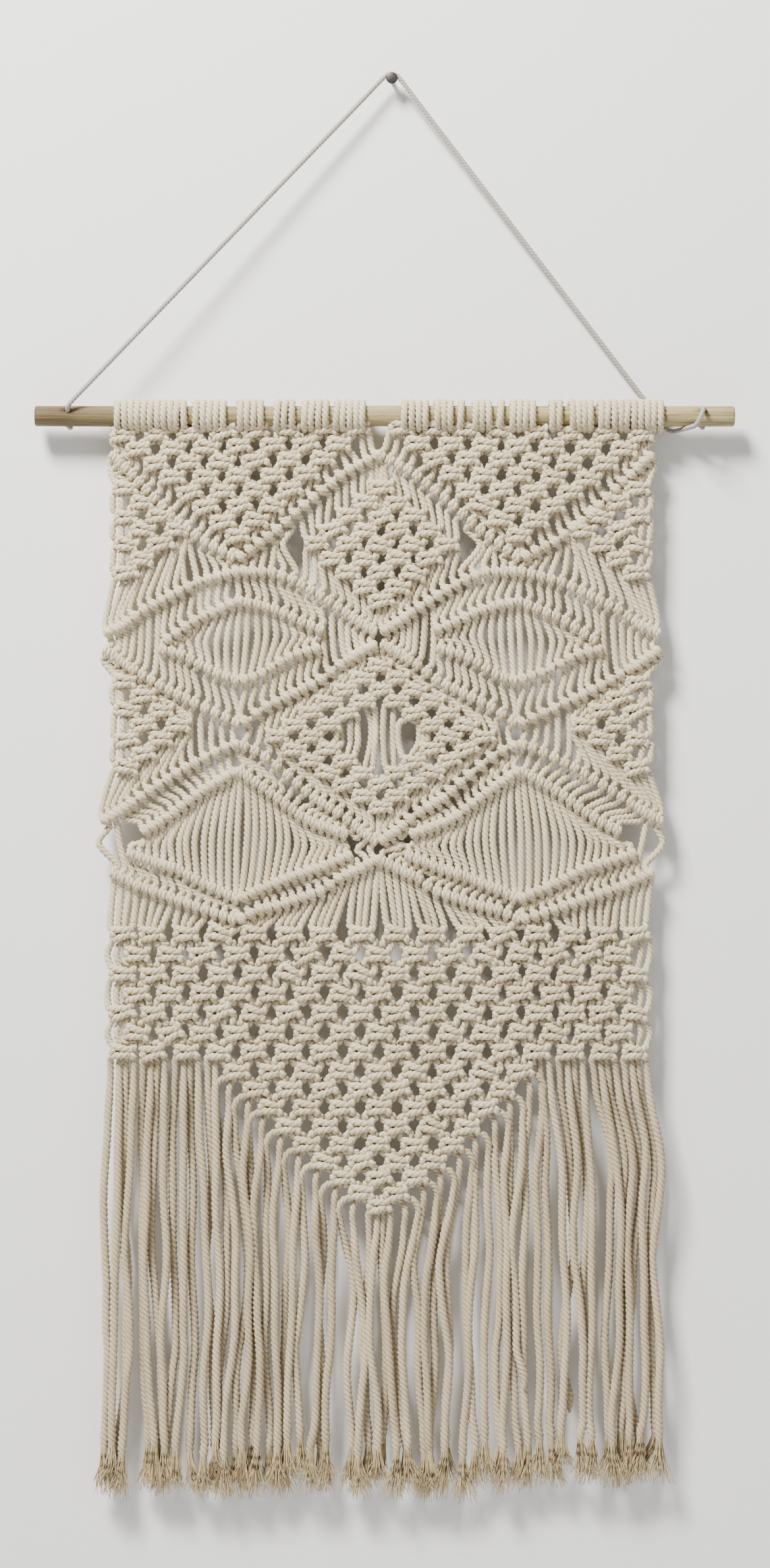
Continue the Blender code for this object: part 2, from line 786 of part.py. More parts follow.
def root_strip():
    """A narrow strip under the hem, parted from it, that the fringe's strands start from."""
    route = [Vector(spot) for spot in HEM]
    rings = []
    for index, spot in enumerate(route):
        near = route[max(index - 1, 0):index + 2]
        normals = []
        for start, end in zip(near, near[1:]):
            run = (end - start).normalized()
            normals.append(Vector((run.y, -run.x)))
        bisector = sum(normals, Vector((0.0, 0.0))).normalized()
        stretch = 1.0 / max(bisector.dot(normals[0]), 0.5)
        ring = []
        for below, depth in ROOT_STRIP:
            place = spot + bisector * below * stretch
            ring.append((place.x, DOWEL_Y + depth, -place.y))
        rings.append(ring)
    mesh = bmesh.new()
    ring_stack(mesh, rings)
    bmesh.ops.recalc_face_normals(mesh, faces=mesh.faces)
    return finished("fringe", mesh)


def strand_routes():
    """For each strand from left to right, its x and drop from the hem to its end."""
    strands = []
    for count, *middles in FRINGE_BUNCHES:
        for index in range(count):
            shift = (index - (count - 1) / 2) * STRAND_PITCH
            strands.append([middle + shift for middle in middles])
    left, right = HEM[-1][0] + ROOT_INSET, HEM[0][0] - ROOT_INSET
    routes = []
    for index, levels in enumerate(strands):
        root = left + (right - left) * index / (len(strands) - 1)
        top = height_on(HEM, root) + ROOT_STRIP_FLOOR
        foot = height_on(FRINGE_FOOT, levels[-1])
        route = [(root, top)]
        first = max(FRINGE_LEVELS[0], top + FAN_LENGTH)
        route.append(((root + levels[0]) / 2, (top + first) / 2 - FAN_BULGE))
        route.append((levels[0], first))
        route += [
            spot for spot in zip(levels[1:], FRINGE_LEVELS[1:]) if spot[1] > first + LEVEL_APART
        ]
        route.append((levels[-1], foot))
        routes.append(route)
    return routes


def fringe():
    """Strands in two layers, apart from each other, with their roots in the strip."""
    mesh = bmesh.new()
    for index, route in enumerate(strand_routes()):
        layer = STRAND_LAYER if index % 2 else -STRAND_LAYER
        point_ahead = 0 if index % 2 else math.pi
        rings = []
        for x, drop in route:
            turns = [point_ahead + 2 * math.pi * side / 3 for side in range(3)]
            rings.append([
                (
                    x + STRAND_RADIUS * math.sin(turn),
                    DOWEL_Y + layer + STRAND_RADIUS * math.cos(turn),
                    -drop,
                )
                for turn in turns
            ])
        ring_stack(mesh, rings)
    bmesh.ops.recalc_face_normals(mesh, faces=mesh.faces)
    strands = finished("fringe_strands", mesh)
    strip = root_strip()
    combined(strip, strands, "UNION")
    return strip


def main():
    for item in list(bpy.data.objects):
        bpy.data.objects.remove(item)
    cotton = material("cotton rope", (0.58, 0.53, 0.41), 0.9)
    greyer = material("hanger cotton", (0.42, 0.40, 0.33), 0.9)
    wood = material("oiled wood", (0.52, 0.36, 0.16), 0.6)
    steel = material("dark steel", (0.05, 0.045, 0.04), 0.45, 0.9)
    panel = panel_sheet()
    combined(panel, wraps(), "UNION")
    for piece, look in (
        (panel, cotton),
        (fringe(), cotton),
        (dowel(), wood),
        (nail(), steel),
        (hanger_cord(), greyer),
        (stopper_knot("left", HOLE_LEFT_X), greyer),
        (stopper_knot("right", HOLE_RIGHT_X), greyer),
    ):
        piece.data.materials.append(look)


main()
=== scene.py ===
# %% [markdown]
# # A macrame wall hanging
#
# The hanging is one panel of knotted cotton rope on a wooden dowel. Sixty-four legs of rope hang from
# the dowel. Reading downwards they are tied into triangles of square knots, into lines of half
# hitches that frame four open eyes, and into a deep net with a V-shaped hem. Below the hem the same
# legs hang free as a fringe. A thinner cord carries the dowel from a nail.
#
# The rope could be a texture on a flat sheet, but it would look flat from the side and under a low
# light. Here each leg is one continuous path that is led through every knot it takes part in, and
# then swept into a tube of three twisted plies. The knots then catch light and shade as real ones
# do. The paths are set for the look, and nothing keeps them apart. Inside the knots the ropes run
# into each other, which matters to anyone who wants to simulate or print them.

import math

import bpy
import numpy as np
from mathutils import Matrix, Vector


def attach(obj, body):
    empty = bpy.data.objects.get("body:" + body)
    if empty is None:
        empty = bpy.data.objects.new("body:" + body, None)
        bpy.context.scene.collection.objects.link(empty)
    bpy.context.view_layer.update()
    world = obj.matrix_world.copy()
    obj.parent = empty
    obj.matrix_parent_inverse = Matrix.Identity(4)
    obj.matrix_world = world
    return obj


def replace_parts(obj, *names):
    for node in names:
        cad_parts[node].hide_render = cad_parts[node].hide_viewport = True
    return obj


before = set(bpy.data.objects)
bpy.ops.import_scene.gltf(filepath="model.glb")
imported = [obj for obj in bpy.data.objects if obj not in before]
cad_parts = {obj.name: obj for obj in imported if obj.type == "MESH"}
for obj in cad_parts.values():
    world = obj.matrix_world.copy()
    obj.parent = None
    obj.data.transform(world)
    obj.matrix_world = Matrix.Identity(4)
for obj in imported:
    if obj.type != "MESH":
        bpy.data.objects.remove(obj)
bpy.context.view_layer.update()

# %% [markdown]
# ## Camera, light and room
#
# The camera looks at the hanging square on. A short lens close by would show the fringe from above
# and the dowel from below. An 85 mm lens two metres away hardly does.

# %% Camera
scene = bpy.context.scene
camera_data = bpy.data.cameras.new("camera")
camera_data.lens = 85.0
camera_data.sensor_width = 36.0
camera = bpy.data.objects.new("camera", camera_data)
camera.location = (-0.0042, -2.261, -0.429)
camera.rotation_euler = (math.radians(90.0), 0.0, 0.0)
scene.collection.objects.link(camera)
scene.camera = camera
print("camera at", tuple(round(v, 3) for v in camera.location))

# %% [markdown]
# ### Light
#
# A soft lamp stands above and to the left, so that every knot has a lit shoulder and a shaded
# underside. A weak, broad one on the right and a dim sky keep the shade open.

# %% Lamps and sky
def area_lamp(name, place, target, size, watts, colour):
    data = bpy.data.lights.new(name, "AREA")
    data.shape = "RECTANGLE"
    data.size, data.size_y = size
    data.energy = watts
    data.color = colour
    lamp = bpy.data.objects.new(name, data)
    lamp.location = place
    aim = Vector(target) - Vector(place)
    lamp.rotation_euler = aim.to_track_quat("-Z", "Y").to_euler()
    scene.collection.objects.link(lamp)


area_lamp("key", (-0.8, -1.3, 1.3), (0.0, 0.0, -0.5), (0.6, 0.6), 158.0, (1.0, 0.98, 0.94))
area_lamp("fill", (1.5, -1.9, 0.1), (0.0, 0.0, -0.5), (1.4, 1.4), 10.0, (1.0, 0.99, 0.97))

world = bpy.data.worlds.new("soft room")
world.use_nodes = True
world.node_tree.nodes["Background"].inputs["Color"].default_value = (0.95, 0.97, 1.0, 1.0)
world.node_tree.nodes["Background"].inputs["Strength"].default_value = 0.16
scene.world = world
print("lamps:", [lamp.name for lamp in bpy.data.lights])

# %% [markdown]
# ### Wall and floor
#
# A pale wall and floor stand in for the room. A plain wall catches the hanging's soft shadow, which
# tells how far the rope stands off it.

# %% Wall and floor
def stage_plane(name, corners, colour):
    """A plain surface of the room. It is clear from behind, so it never hides the hanging's back."""
    mesh = bpy.data.meshes.new(name)
    mesh.from_pydata(corners, [], [(0, 1, 2, 3)])
    plane = bpy.data.objects.new(name, mesh)
    scene.collection.objects.link(plane)
    look = bpy.data.materials.new(name)
    look.use_nodes = True
    nodes, links = look.node_tree.nodes, look.node_tree.links
    shader = nodes["Principled BSDF"]
    shader.inputs["Base Color"].default_value = colour
    shader.inputs["Roughness"].default_value = 0.95
    clear = nodes.new("ShaderNodeBsdfTransparent")
    side = nodes.new("ShaderNodeNewGeometry")
    mixed = nodes.new("ShaderNodeMixShader")
    links.new(side.outputs["Backfacing"], mixed.inputs["Fac"])
    links.new(shader.outputs["BSDF"], mixed.inputs[1])
    links.new(clear.outputs["BSDF"], mixed.inputs[2])
    links.new(mixed.outputs["Shader"], nodes["Material Output"].inputs["Surface"])
    mesh.materials.append(look)


WALL_Y = 0.0008
HALF_WIDTH = 2.5
FLOOR = -1.6
CEILING = 1.6
FRONT = -4.0
stage_plane(
    "room_side",
    [(-HALF_WIDTH, WALL_Y, FLOOR), (HALF_WIDTH, WALL_Y, FLOOR), (HALF_WIDTH, WALL_Y, CEILING),
     (-HALF_WIDTH, WALL_Y, CEILING)],
    (0.9, 0.9, 0.9, 1.0),
)
stage_plane(
    "room_floor",
    [(-HALF_WIDTH, FRONT, FLOOR), (HALF_WIDTH, FRONT, FLOOR), (HALF_WIDTH, WALL_Y, FLOOR),
     (-HALF_WIDTH, WALL_Y, FLOOR)],
    (0.82, 0.82, 0.82, 1.0),
)
print("the wall stands", round(WALL_Y * 1000, 1), "mm behind the nail's flat end")

# %% [markdown]
# ## The plan of the knots
#
# All the work is planned in millimetres on the flat of the panel: x from the nail, drop below it,
# and n, how far a rope stands in front of the panel's middle plane. The legs are numbered 0 to 63
# from left to right. A leg keeps its number all the way down, because a full square knot and a
# half hitch both hand each leg back where it came in.

# %% Sizes
MM = 0.001

# The dowel: its middle line is PLANE_Y in front of the nail's flat end and lies in the panel's
# middle plane. Its holes rise towards the front.
PLANE_Y = -14.2
DOWEL_RADIUS = 6.2
DOWEL_DROP = 205.8
DOWEL_ENDS = (-216.8, 208.0)
HOLES_X = (-196.4, 188.8)
HOLE_RADIUS = 2.1
HOLE_RISE = math.radians(31.0)

# The rope's radius, the number of legs, the first leg of a knot in the middle, and the line that
# parts the left column from the right
ROPE = 2.15
LEGS = 64
MIDDLE_KNOT = LEGS // 2 - 2
MIDDLE_X = -8.0
print("the dowel is", round(DOWEL_ENDS[1] - DOWEL_ENDS[0], 1), "mm long and the rope", 2 * ROPE, "mm thick")

# %% [markdown]
# ### Groups and lines
#
# The legs sit on the dowel in groups with a little wood between them, and nine lines of half
# hitches part the panel into its fields. Both are written down as tables, because a maker too works
# from a chart.

# %% Groups and lines
# Groups of legs on the dowel: left edge, right edge, number of legs
LEG_GROUPS = (
    (-168.2, -124.4, 11), (-120.8, -100.4, 5), (-94.0, -77.6, 4), (-71.6, -58.4, 3),
    (-54.8, -38.0, 4), (-35.2, -16.0, 5), (5.6, 22.4, 4), (25.6, 37.2, 3), (39.8, 44.2, 1),
    (48.8, 60.4, 3), (63.8, 68.2, 1), (71.6, 87.2, 4), (95.2, 103.6, 2), (107.6, 122.0, 4),
    (124.8, 164.8, 10),
)

# Lines of half hitches in the left column: x and drop from the outer end over the tip to the inner
# end, and the first and last leg tied into them
LINES = {
    "v top": (0, 31, (
        (-170.0, 229.2), (-152.0, 247.2), (-134.0, 266.4), (-114.0, 282.0), (-93.6, 292.4),
        (-70.0, 275.2), (-50.0, 257.2), (-28.0, 239.6), (-4.8, 227.6))),
    "roof 1": (0, 31, (
        (-174.8, 338.0), (-163.6, 333.2), (-151.6, 324.0), (-130.4, 312.8), (-117.6, 306.4),
        (-104.8, 302.8), (-93.6, 300.0), (-73.6, 300.4), (-60.8, 304.8), (-46.0, 313.2),
        (-28.4, 324.8), (-19.2, 331.2), (-9.2, 337.2))),
    "eye 1 top": (7, 24, (
        (-138.8, 343.2), (-126.8, 334.8), (-117.6, 328.4), (-106.8, 324.0), (-93.6, 318.0),
        (-81.2, 320.4), (-68.0, 324.0), (-53.6, 331.2), (-41.2, 336.0))),
    "eye 1 foot": (7, 24, (
        (-141.6, 346.8), (-126.8, 350.4), (-117.6, 356.0), (-104.8, 362.4), (-92.0, 366.4),
        (-81.2, 363.6), (-68.0, 355.2), (-58.0, 350.4), (-43.2, 346.0))),
    "v 1": (0, 31, (
        (-174.8, 347.0), (-163.6, 355.2), (-153.6, 361.6), (-138.0, 370.8), (-123.2, 378.0),
        (-108.4, 385.6), (-92.0, 392.8), (-76.0, 382.0), (-60.4, 374.4), (-44.0, 366.4),
        (-32.0, 357.2), (-19.2, 349.0), (-9.2, 344.0))),
    "roof 2": (0, 31, (
        (-176.4, 452.0), (-163.6, 444.8), (-148.0, 433.6), (-126.8, 420.0), (-114.0, 413.2),
        (-101.2, 406.8), (-92.8, 404.4), (-81.2, 409.6), (-67.2, 420.0), (-47.6, 437.2),
        (-32.0, 446.4), (-18.4, 457.6), (-8.4, 464.4))),
    "eye 2 top": (2, 29, (
        (-152.0, 458.0), (-140.8, 452.0), (-130.4, 444.8), (-116.0, 433.6), (-93.6, 420.4),
        (-77.2, 431.6), (-64.4, 441.2), (-55.2, 448.4), (-46.8, 452.8), (-27.0, 459.6))),
    "eye 2 foot": (2, 29, (
        (-160.8, 470.4), (-145.2, 476.0), (-130.4, 480.4), (-117.6, 487.6), (-101.2, 495.2),
        (-92.8, 498.8), (-81.2, 493.2), (-67.2, 487.6), (-53.6, 482.4), (-46.0, 480.4),
        (-24.0, 471.6))),
    "v 2": (0, 31, (
        (-170.8, 482.0), (-154.4, 490.4), (-140.8, 495.2), (-125.2, 500.8), (-110.4, 506.0),
        (-93.6, 511.6), (-81.2, 505.2), (-68.8, 502.4), (-55.2, 498.0), (-41.2, 493.2),
        (-32.0, 486.0), (-21.2, 481.2), (-7.2, 474.0))),
}
print("plan:", LEGS, "legs and", 2 * len(LINES), "lines of half hitches")

# %% [markdown]
# ### Legs and columns
#
# Each leg is a list of points that grows as the work goes down. Only the left half is planned, and
# the right half follows it turned over, as a maker ties both sides alike. The draws of chance that
# make every knot a little different come from one seeded source.

# %% Legs and columns
rng = np.random.default_rng(11)
legs = [[] for _ in range(LEGS)]
RIGHT_AXIS = 77.6
RIGHT_STRETCH = 1.05


def right_x(x):
    """The right column is the left one turned over, and a little wider at its outer side."""
    x = 2 * MIDDLE_X - x
    return RIGHT_AXIS + (x - RIGHT_AXIS) * RIGHT_STRETCH if x > RIGHT_AXIS else x


# Where a leg is that has left one square knot on the slant and hasn't yet come to the next
on_the_way = {}


def put(leg, x, drop, n, size=0.94):
    """Leads a leg through a point, where its rope is drawn to size times its full thickness."""
    legs[leg].append((x, drop, n, size))
    on_the_way.pop(leg, None)


def both_columns():
    """(turned over, leg number to leg number, x to x) for the left and then the right column."""
    yield False, (lambda leg: leg), (lambda x: x)
    yield True, (lambda leg: LEGS - 1 - leg), right_x


outer_end = LINES["roof 2"][2][0][0]
print("roof 2 starts at x", outer_end, "and, turned over, at", round(right_x(outer_end), 1))

# %% [markdown]
# ### Square knots
#
# A square knot takes four legs. The two middle ones run straight through it. The left one crosses
# in front to the right and back again, and the right one does the same behind them, coming forward
# at the left round the other's turn. One knot is written down as a route for each of its legs, and
# every knot is that one, squeezed and tilted a little. Real rope flattens where it is squeezed. These
# ropes only get thinner, so where they lie close they pass into each other.

# %% Square knot
# Share of the half width, millimetres below the knot's middle, millimetres in front of the panel
FRONT_WORKER = (
    (-1.22, -3.9, 1.2), (-0.98, -3.0, 2.6), (-0.55, -2.6, 4.0), (0.05, -1.95, 4.4), (0.60, -1.35, 3.4),
    (0.98, -0.6, 1.0), (1.04, 0.0, 0.3), (0.98, 0.6, 1.0),
    (0.60, 1.35, 3.4), (0.05, 1.95, 4.4), (-0.55, 2.6, 4.0), (-0.98, 3.0, 2.6), (-1.22, 3.9, 1.2),
)
BACK_WORKER = (
    (1.22, -3.9, 1.4), (1.10, -2.6, 3.5), (0.95, -1.2, 1.6), (0.45, -0.7, -3.4), (-0.50, -0.7, -3.2),
    (-0.96, -1.2, 0.4), (-1.10, 0.0, 3.7), (-0.96, 1.2, 0.4),
    (-0.50, 0.7, -3.2), (0.45, 0.7, -3.4), (0.95, 1.2, 1.6), (1.10, 2.6, 3.5), (1.22, 3.9, 1.4),
)
LEFT_FILLER = ((-0.33, -4.6, 0.2), (-0.31, -2.6, 0.0), (-0.31, 2.6, 0.0), (-0.33, 4.6, 0.2))
RIGHT_FILLER = ((0.33, -4.6, 0.2), (0.31, -2.6, 0.0), (0.31, 2.6, 0.0), (0.33, 4.6, 0.2))
WORKER_SIZE = 1.02
FILLER_SIZE = 0.86

# How far a leg on the slant between two knots stands out, and its thickness
BETWEEN_KNOTS = (1.5, 0.97)

# Half the height of a knot whose rope is left at its full length
FULL_HALF_HEIGHT = 5.5


def square_knot(first, x, drop, pitch, half_height, half_width=5.5):
    """Ties legs first to first + 3 with the knot's middle at x, drop.

    The next row's knots are one pitch to either side, so the legs leave on the slant.
    """
    tilt = rng.normal(0.0, 0.14)
    spread = half_width * rng.normal(1.0, 0.05)
    tight = min(1.0, (half_height + 1.0) / FULL_HALF_HEIGHT)
    thick = 0.5 + 0.5 * tight
    inner = 0.45 * half_width
    leaves = (inner - pitch, -inner, inner, pitch - inner)
    x += rng.normal(0.0, 0.4)
    drop += rng.normal(0.0, 0.3)
    for offset, route in enumerate((FRONT_WORKER, LEFT_FILLER, RIGHT_FILLER, BACK_WORKER)):
        size = thick * (WORKER_SIZE if offset in (0, 3) else FILLER_SIZE)
        if first + offset in on_the_way:
            put(first + offset, *on_the_way[first + offset], *BETWEEN_KNOTS)
            put(first + offset, x + leaves[offset], drop - half_height, *BETWEEN_KNOTS)
        for u, rise, n in route:
            rise *= tight
            put(first + offset, x + u * spread - rise * tilt, drop + rise + u * spread * tilt, n, size)
        on_the_way[first + offset] = (x + leaves[offset], drop + half_height)


print("points in a square knot:", sum(map(len, (FRONT_WORKER, LEFT_FILLER, RIGHT_FILLER, BACK_WORKER))))

# %% [markdown]
# ### Half hitches
#
# A double half hitch takes one leg twice round a carrier that runs along the line, which leaves two
# lumps side by side. The hitch is written down once, lying on a level line, and then turned with
# the slope of the line that it is tied on.

# %% Half hitch
HITCH = (
    # along the line, across it, n, size
    (-0.2, -5.2, 0.2, 0.94), (-0.8, -2.6, 2.0, 0.88), (-1.1, -0.9, 3.9, 0.88), (-1.0, 0.8, 3.9, 0.86),
    (-0.8, 1.9, 1.4, 0.7), (-0.4, 1.2, -1.8, 0.66), (0.0, 0.0, -2.8, 0.66), (0.4, -1.2, -1.8, 0.66),
    (0.8, -1.9, 1.4, 0.7), (1.1, -0.8, 3.9, 0.86), (1.05, 0.9, 3.9, 0.88), (0.7, 2.6, 2.0, 0.88),
    (0.2, 5.2, -0.1, 0.94),
)

# On an eye's side, a point further than this from the line is set nearly plumb with the hitch, and
# keeps only this share of the slant
PLUMB_FROM = 5.0
PLUMB_SHARE = 0.3


def line_at(route, x, reach=3.0):
    """A line's drop at x, and its slope taken over a reach to either side."""
    xs = [spot[0] for spot in route]
    drops = [spot[1] for spot in route]
    drop = float(np.interp(x, xs, drops))
    slope = float(np.interp(x + reach, xs, drops) - np.interp(x - reach, xs, drops)) / (2 * reach)
    return drop, slope


def hitch(leg, x, drop, slope, plumb):
    """Ties one leg round the carrier. Where it comes from or goes to an eye it hangs plumb there."""
    run = Vector((1.0, slope)).normalized()
    across = Vector((-run.y, run.x))
    lift = rng.normal(1.0, 0.07)
    reach = rng.normal(1.0, 0.05)
    lean = rng.normal(0.0, 0.07)
    for u, v, n, size in HITCH:
        spot = run * (u + v * lean) + across * v * reach
        if v * plumb > PLUMB_FROM:
            spot = Vector((u + spot.x * PLUMB_SHARE, v))
        put(leg, x + spot.x, drop + spot.y, n * lift, size)


print("points in a half hitch:", len(HITCH))

# %% [markdown]
# ### Lines of half hitches
#
# A whole line is tied leg by leg, in both columns. A leg crosses its line squarely, so between two
# slanting lines the legs lie on the slant as well.

# %% Lines of half hitches
# How far along a slanting line its legs are moved, so that they cross the next line at a right angle
SLANT = {
    "v top": 0.0, "roof 1": 7.0, "eye 1 top": 0.0, "eye 1 foot": 0.0, "v 1": -9.0,
    "roof 2": 7.0, "eye 2 top": 0.0, "eye 2 foot": 0.0, "v 2": -5.0,
}

# A leg is moved along its line less and less within this distance of the line's ends and tip
STILL_WITHIN = 24.0
TIP_X = -93.0
V_TOP_TIP = -94.4
V_TOP_PITCH = 5.5


def place_on(name, leg):
    """Where along a line a leg is tied. Under a triangle of knots the legs meet the line squarely."""
    first, last, route = LINES[name]
    if name == "v top":
        if leg >= LEGS // 4:
            return V_TOP_TIP + (leg - 15.5) * V_TOP_PITCH
        return route[0][0] + (V_TOP_TIP - route[0][0]) * ((leg + 0.5) / 16) ** 1.2
    share = (leg - first + 0.5) / (last - first + 1)
    return route[0][0] + (route[-1][0] - route[0][0]) * share


def hitch_line(name, plumb=0):
    """Ties a whole line in both columns. plumb is 1 above an eye and -1 below it."""
    first, last, route = LINES[name]
    tip = min(route, key=lambda spot: abs(spot[0] - TIP_X))[0]
    for turned, number, place in both_columns():
        for leg in range(first, last + 1):
            x = place_on(name, leg)
            moved = SLANT[name] * line_at(route, x, 8.0)[1]
            for fixed in (route[0][0], tip, route[-1][0]):
                moved *= min(1.0, abs(x - fixed) / STILL_WITHIN)
            x += moved
            drop, slope = line_at(route, x)
            hitch(number(leg), place(x), drop, -slope if turned else slope, plumb)


print("hitches to tie:", sum(2 * (last - first + 1) for first, last, _ in LINES.values()))

# %% [markdown]
# ### Over the dowel
#
# Each rope is folded over the dowel as a reversed lark's head, so the front shows plain turns and
# the bar lies at the back. A leg starts at that bar, goes under and up the front, over the top,
# down the back inside the bar, and then out to its place in the first row of knots.

# %% Over the dowel
TURN_RADIUS = DOWEL_RADIUS + ROPE + 0.1

# Where the bar lies at the back: below the dowel's middle line, and n
BAR = (4.0, -11.3)

# Degrees round the dowel, counted from its front over the top, and the distance from its middle
# line. A turn starts at the back, goes under the dowel and ends at the back.
ROUND_IT = (*range(280, 551, 30), 572)
TURN = ((222, 10.9), (250, TURN_RADIUS + 0.6), *((angle, TURN_RADIUS) for angle in ROUND_IT))
TURN_LENGTH = TURN[-1][0] - TURN[0][0]


def over_the_dowel():
    leg = 0
    for left, right, count in LEG_GROUPS:
        pitch = (right - left) / count
        for index in range(count):
            x = left + (index + 0.5) * pitch
            partner = index + 1 if index % 2 == 0 else index - 1
            if partner >= count:
                partner = index - 1 if index else index
            bar_x = (x + left + (partner + 0.5) * pitch) / 2
            sway = rng.normal(0.0, 0.35)
            put(leg, bar_x, DOWEL_DROP + BAR[0], BAR[1], 0.95)
            for angle, radius in TURN:
                turn = math.radians(angle)
                shift = sway * math.sin(math.radians((angle - TURN[0][0]) * 180 / TURN_LENGTH) * 2)
                put(leg, x + shift, DOWEL_DROP - radius * math.sin(turn), radius * math.cos(turn), 0.98)
            leg += 1


over_the_dowel()
print("turns on the dowel:", sum(count for _, _, count in LEG_GROUPS), "legs")

# %% [markdown]
# ### Triangles and the top V
#
# The rows are tied in the order a maker ties them, top to bottom. Under the dowel stand two
# triangles of alternating square knots, each closed by a V of half hitches. Where no knot holds a
# leg, a few loose points set how it hangs, such as the bulge at an edge.

# %% Tie the triangles
# The pitch is half the step from one knot to the next, and the first knot is the top left one
TRIANGLE_ROWS = 8
TRIANGLE_PITCH = 10.1
TRIANGLE_ROW_STEP = 8.64
FIRST_KNOT = (-163.3, 217.6)


def triangles():
    for row in range(TRIANGLE_ROWS):
        for turned, number, place in both_columns():
            for knot in range(TRIANGLE_ROWS - row):
                x = FIRST_KNOT[0] + TRIANGLE_PITCH * row + 2 * TRIANGLE_PITCH * knot
                drop = FIRST_KNOT[1] + TRIANGLE_ROW_STEP * row - 0.7 * knot
                first = 2 * row + 4 * knot
                square_knot(number(first + 3) if turned else first, place(x), drop, TRIANGLE_PITCH, 4.2)


def loosen(drop, places, depth=0.8):
    """Leads loose legs through given places at one drop."""
    for leg, x in places:
        put(leg, x, drop + rng.normal(0.0, 0.8), rng.normal(0.0, depth))


triangles()
hitch_line("v top")
loosen(262.0, [(30, -12.0), (31, -8.2), (32, -3.6), (33, 0.6)])
print("points after the top V:", sum(len(leg) for leg in legs))

# %% [markdown]
# ### Edge nets and the diamond
#
# Outside the Vs a half diamond of knots fills each edge, and between them hangs a whole diamond.

# %% Tie the edge nets and the diamond
EDGE_NET_X = -161.4
NET_HALF_HEIGHT = 4.1
DIAMOND_MIDDLE = (-6.6, 283.6)
DIAMOND_PITCH = 9.8
DIAMOND_ROW_STEP = 8.56


def edge_net(middle, row_step, step):
    """A half diamond of knots at the outer edge of each column."""
    for row in range(-3, 4):
        for turned, number, place in both_columns():
            columns = {0: (1, 3), 1: (0, 2), 2: (1,), 3: (0,)}[abs(row)]
            for column in columns:
                first = 2 * column
                square_knot(
                    number(first + 3) if turned else first, place(EDGE_NET_X + step * column),
                    middle + row * row_step, step, NET_HALF_HEIGHT,
                )


def diamond():
    for row in range(-4, 5):
        reach = 4 - abs(row)
        for column in range(-reach, reach + 1, 2):
            x = DIAMOND_MIDDLE[0] + DIAMOND_PITCH * column
            drop = DIAMOND_MIDDLE[1] + DIAMOND_ROW_STEP * row
            square_knot(MIDDLE_KNOT + 2 * column, x, drop, DIAMOND_PITCH, NET_HALF_HEIGHT)


edge_net(275.2, 8.5, 10.2)
diamond()
loosen(284.0, [(21, -66.0), (20, -70.5), (42, 53.4), (43, 56.0), (44, 61.0)])
print("points after the diamond:", sum(len(leg) for leg in legs))

# %% [markdown]
# ### The first pair of eyes
#
# An eye is a lens of loose legs between two lines of half hitches. Its legs bow away from its
# middle, but not in the corners, where they are held. A roof lies over each eye and a V under it.

# %% Tie the first pair of eyes
def eye_strands(first, last, top, foot, bow):
    """The loose legs inside an eye bow away from its middle, less so in its two corners."""
    _, _, above = LINES[top]
    _, _, below = LINES[foot]
    for _, number, place in both_columns():
        for leg in range(first, last + 1):
            away = (2 * leg - first - last) / (last - first)
            x = (place_on(top, leg) + place_on(foot, leg)) / 2 + bow * away * (1 - away**4)
            drop = (line_at(above, x)[0] + line_at(below, x)[0]) / 2
            put(number(leg), place(x + rng.normal(0.0, 0.35)), drop, rng.normal(0.0, 0.5))


hitch_line("roof 1")
hitch_line("eye 1 top", 1)
eye_strands(7, 24, "eye 1 top", "eye 1 foot", 4.5)
hitch_line("eye 1 foot", -1)
hitch_line("v 1")
print("points after the first eyes:", sum(len(leg) for leg in legs))

# %% [markdown]
# ### The ring and its window
#
# In the middle two rows of knots run round a diamond that is left open. Twelve legs hang loose in
# it, parted here and there so that the wall shows. At the edges the half diamonds come again.

# %% Tie the ring
RING_MIDDLE = (-7.0, 400.4)
RING_PITCH = 10.4
RING_ROW_STEP = 7.15
RING_HALF_HEIGHT = 3.5
WINDOW_X = (-34.0, -31.5, -25.4, -21.2, -12.6, -10.0, -5.2, 0.8, 4.6, 15.6, 18.6, 21.6)


def window():
    """The twelve legs that hang loose inside the ring, parted here and there."""
    for leg, x in zip(range(26, 38), WINDOW_X):
        put(leg, x, 392.0, rng.normal(0.0, 1.0))
        put(leg, x + rng.normal(0.0, 0.4), 404.0, rng.normal(0.0, 1.2))


def ring():
    for row in range(-6, 7):
        for reach in (6, 4):
            column = reach - abs(row)
            if column < 0:
                continue
            for side in {-column, column}:
                x = RING_MIDDLE[0] + RING_PITCH * side
                drop = RING_MIDDLE[1] + RING_ROW_STEP * row
                square_knot(MIDDLE_KNOT + 2 * side, x, drop, RING_PITCH, RING_HALF_HEIGHT)
        if row == 0:
            window()


edge_net(393.0, 8.7, 10.4)
ring()
print("points after the ring:", sum(len(leg) for leg in legs))

# %% [markdown]
# ### The second pair of eyes
#
# The lower eyes are wider and taken from more legs. At each edge two legs are left out and stand
# off in a small loop.

# %% Tie the second pair of eyes
hitch_line("roof 2")
hitch_line("eye 2 top", 1)
loosen(465.0, [(0, -178.0), (1, -165.5), (62, 152.0), (63, 164.5)])
eye_strands(2, 29, "eye 2 top", "eye 2 foot", 6.5)
hitch_line("eye 2 foot", -1)
loosen(468.6, [(30, -21.0), (31, -14.0), (32, 5.6), (33, 12.6)])
hitch_line("v 2", 1)
print("points after the second eyes:", sum(len(leg) for leg in legs))

# %% [markdown]
# ### The deep net
#
# Seven full rows run from edge to edge, with sixteen and fifteen knots in turn. Then every row is
# one knot shorter, which draws the hem into a V.

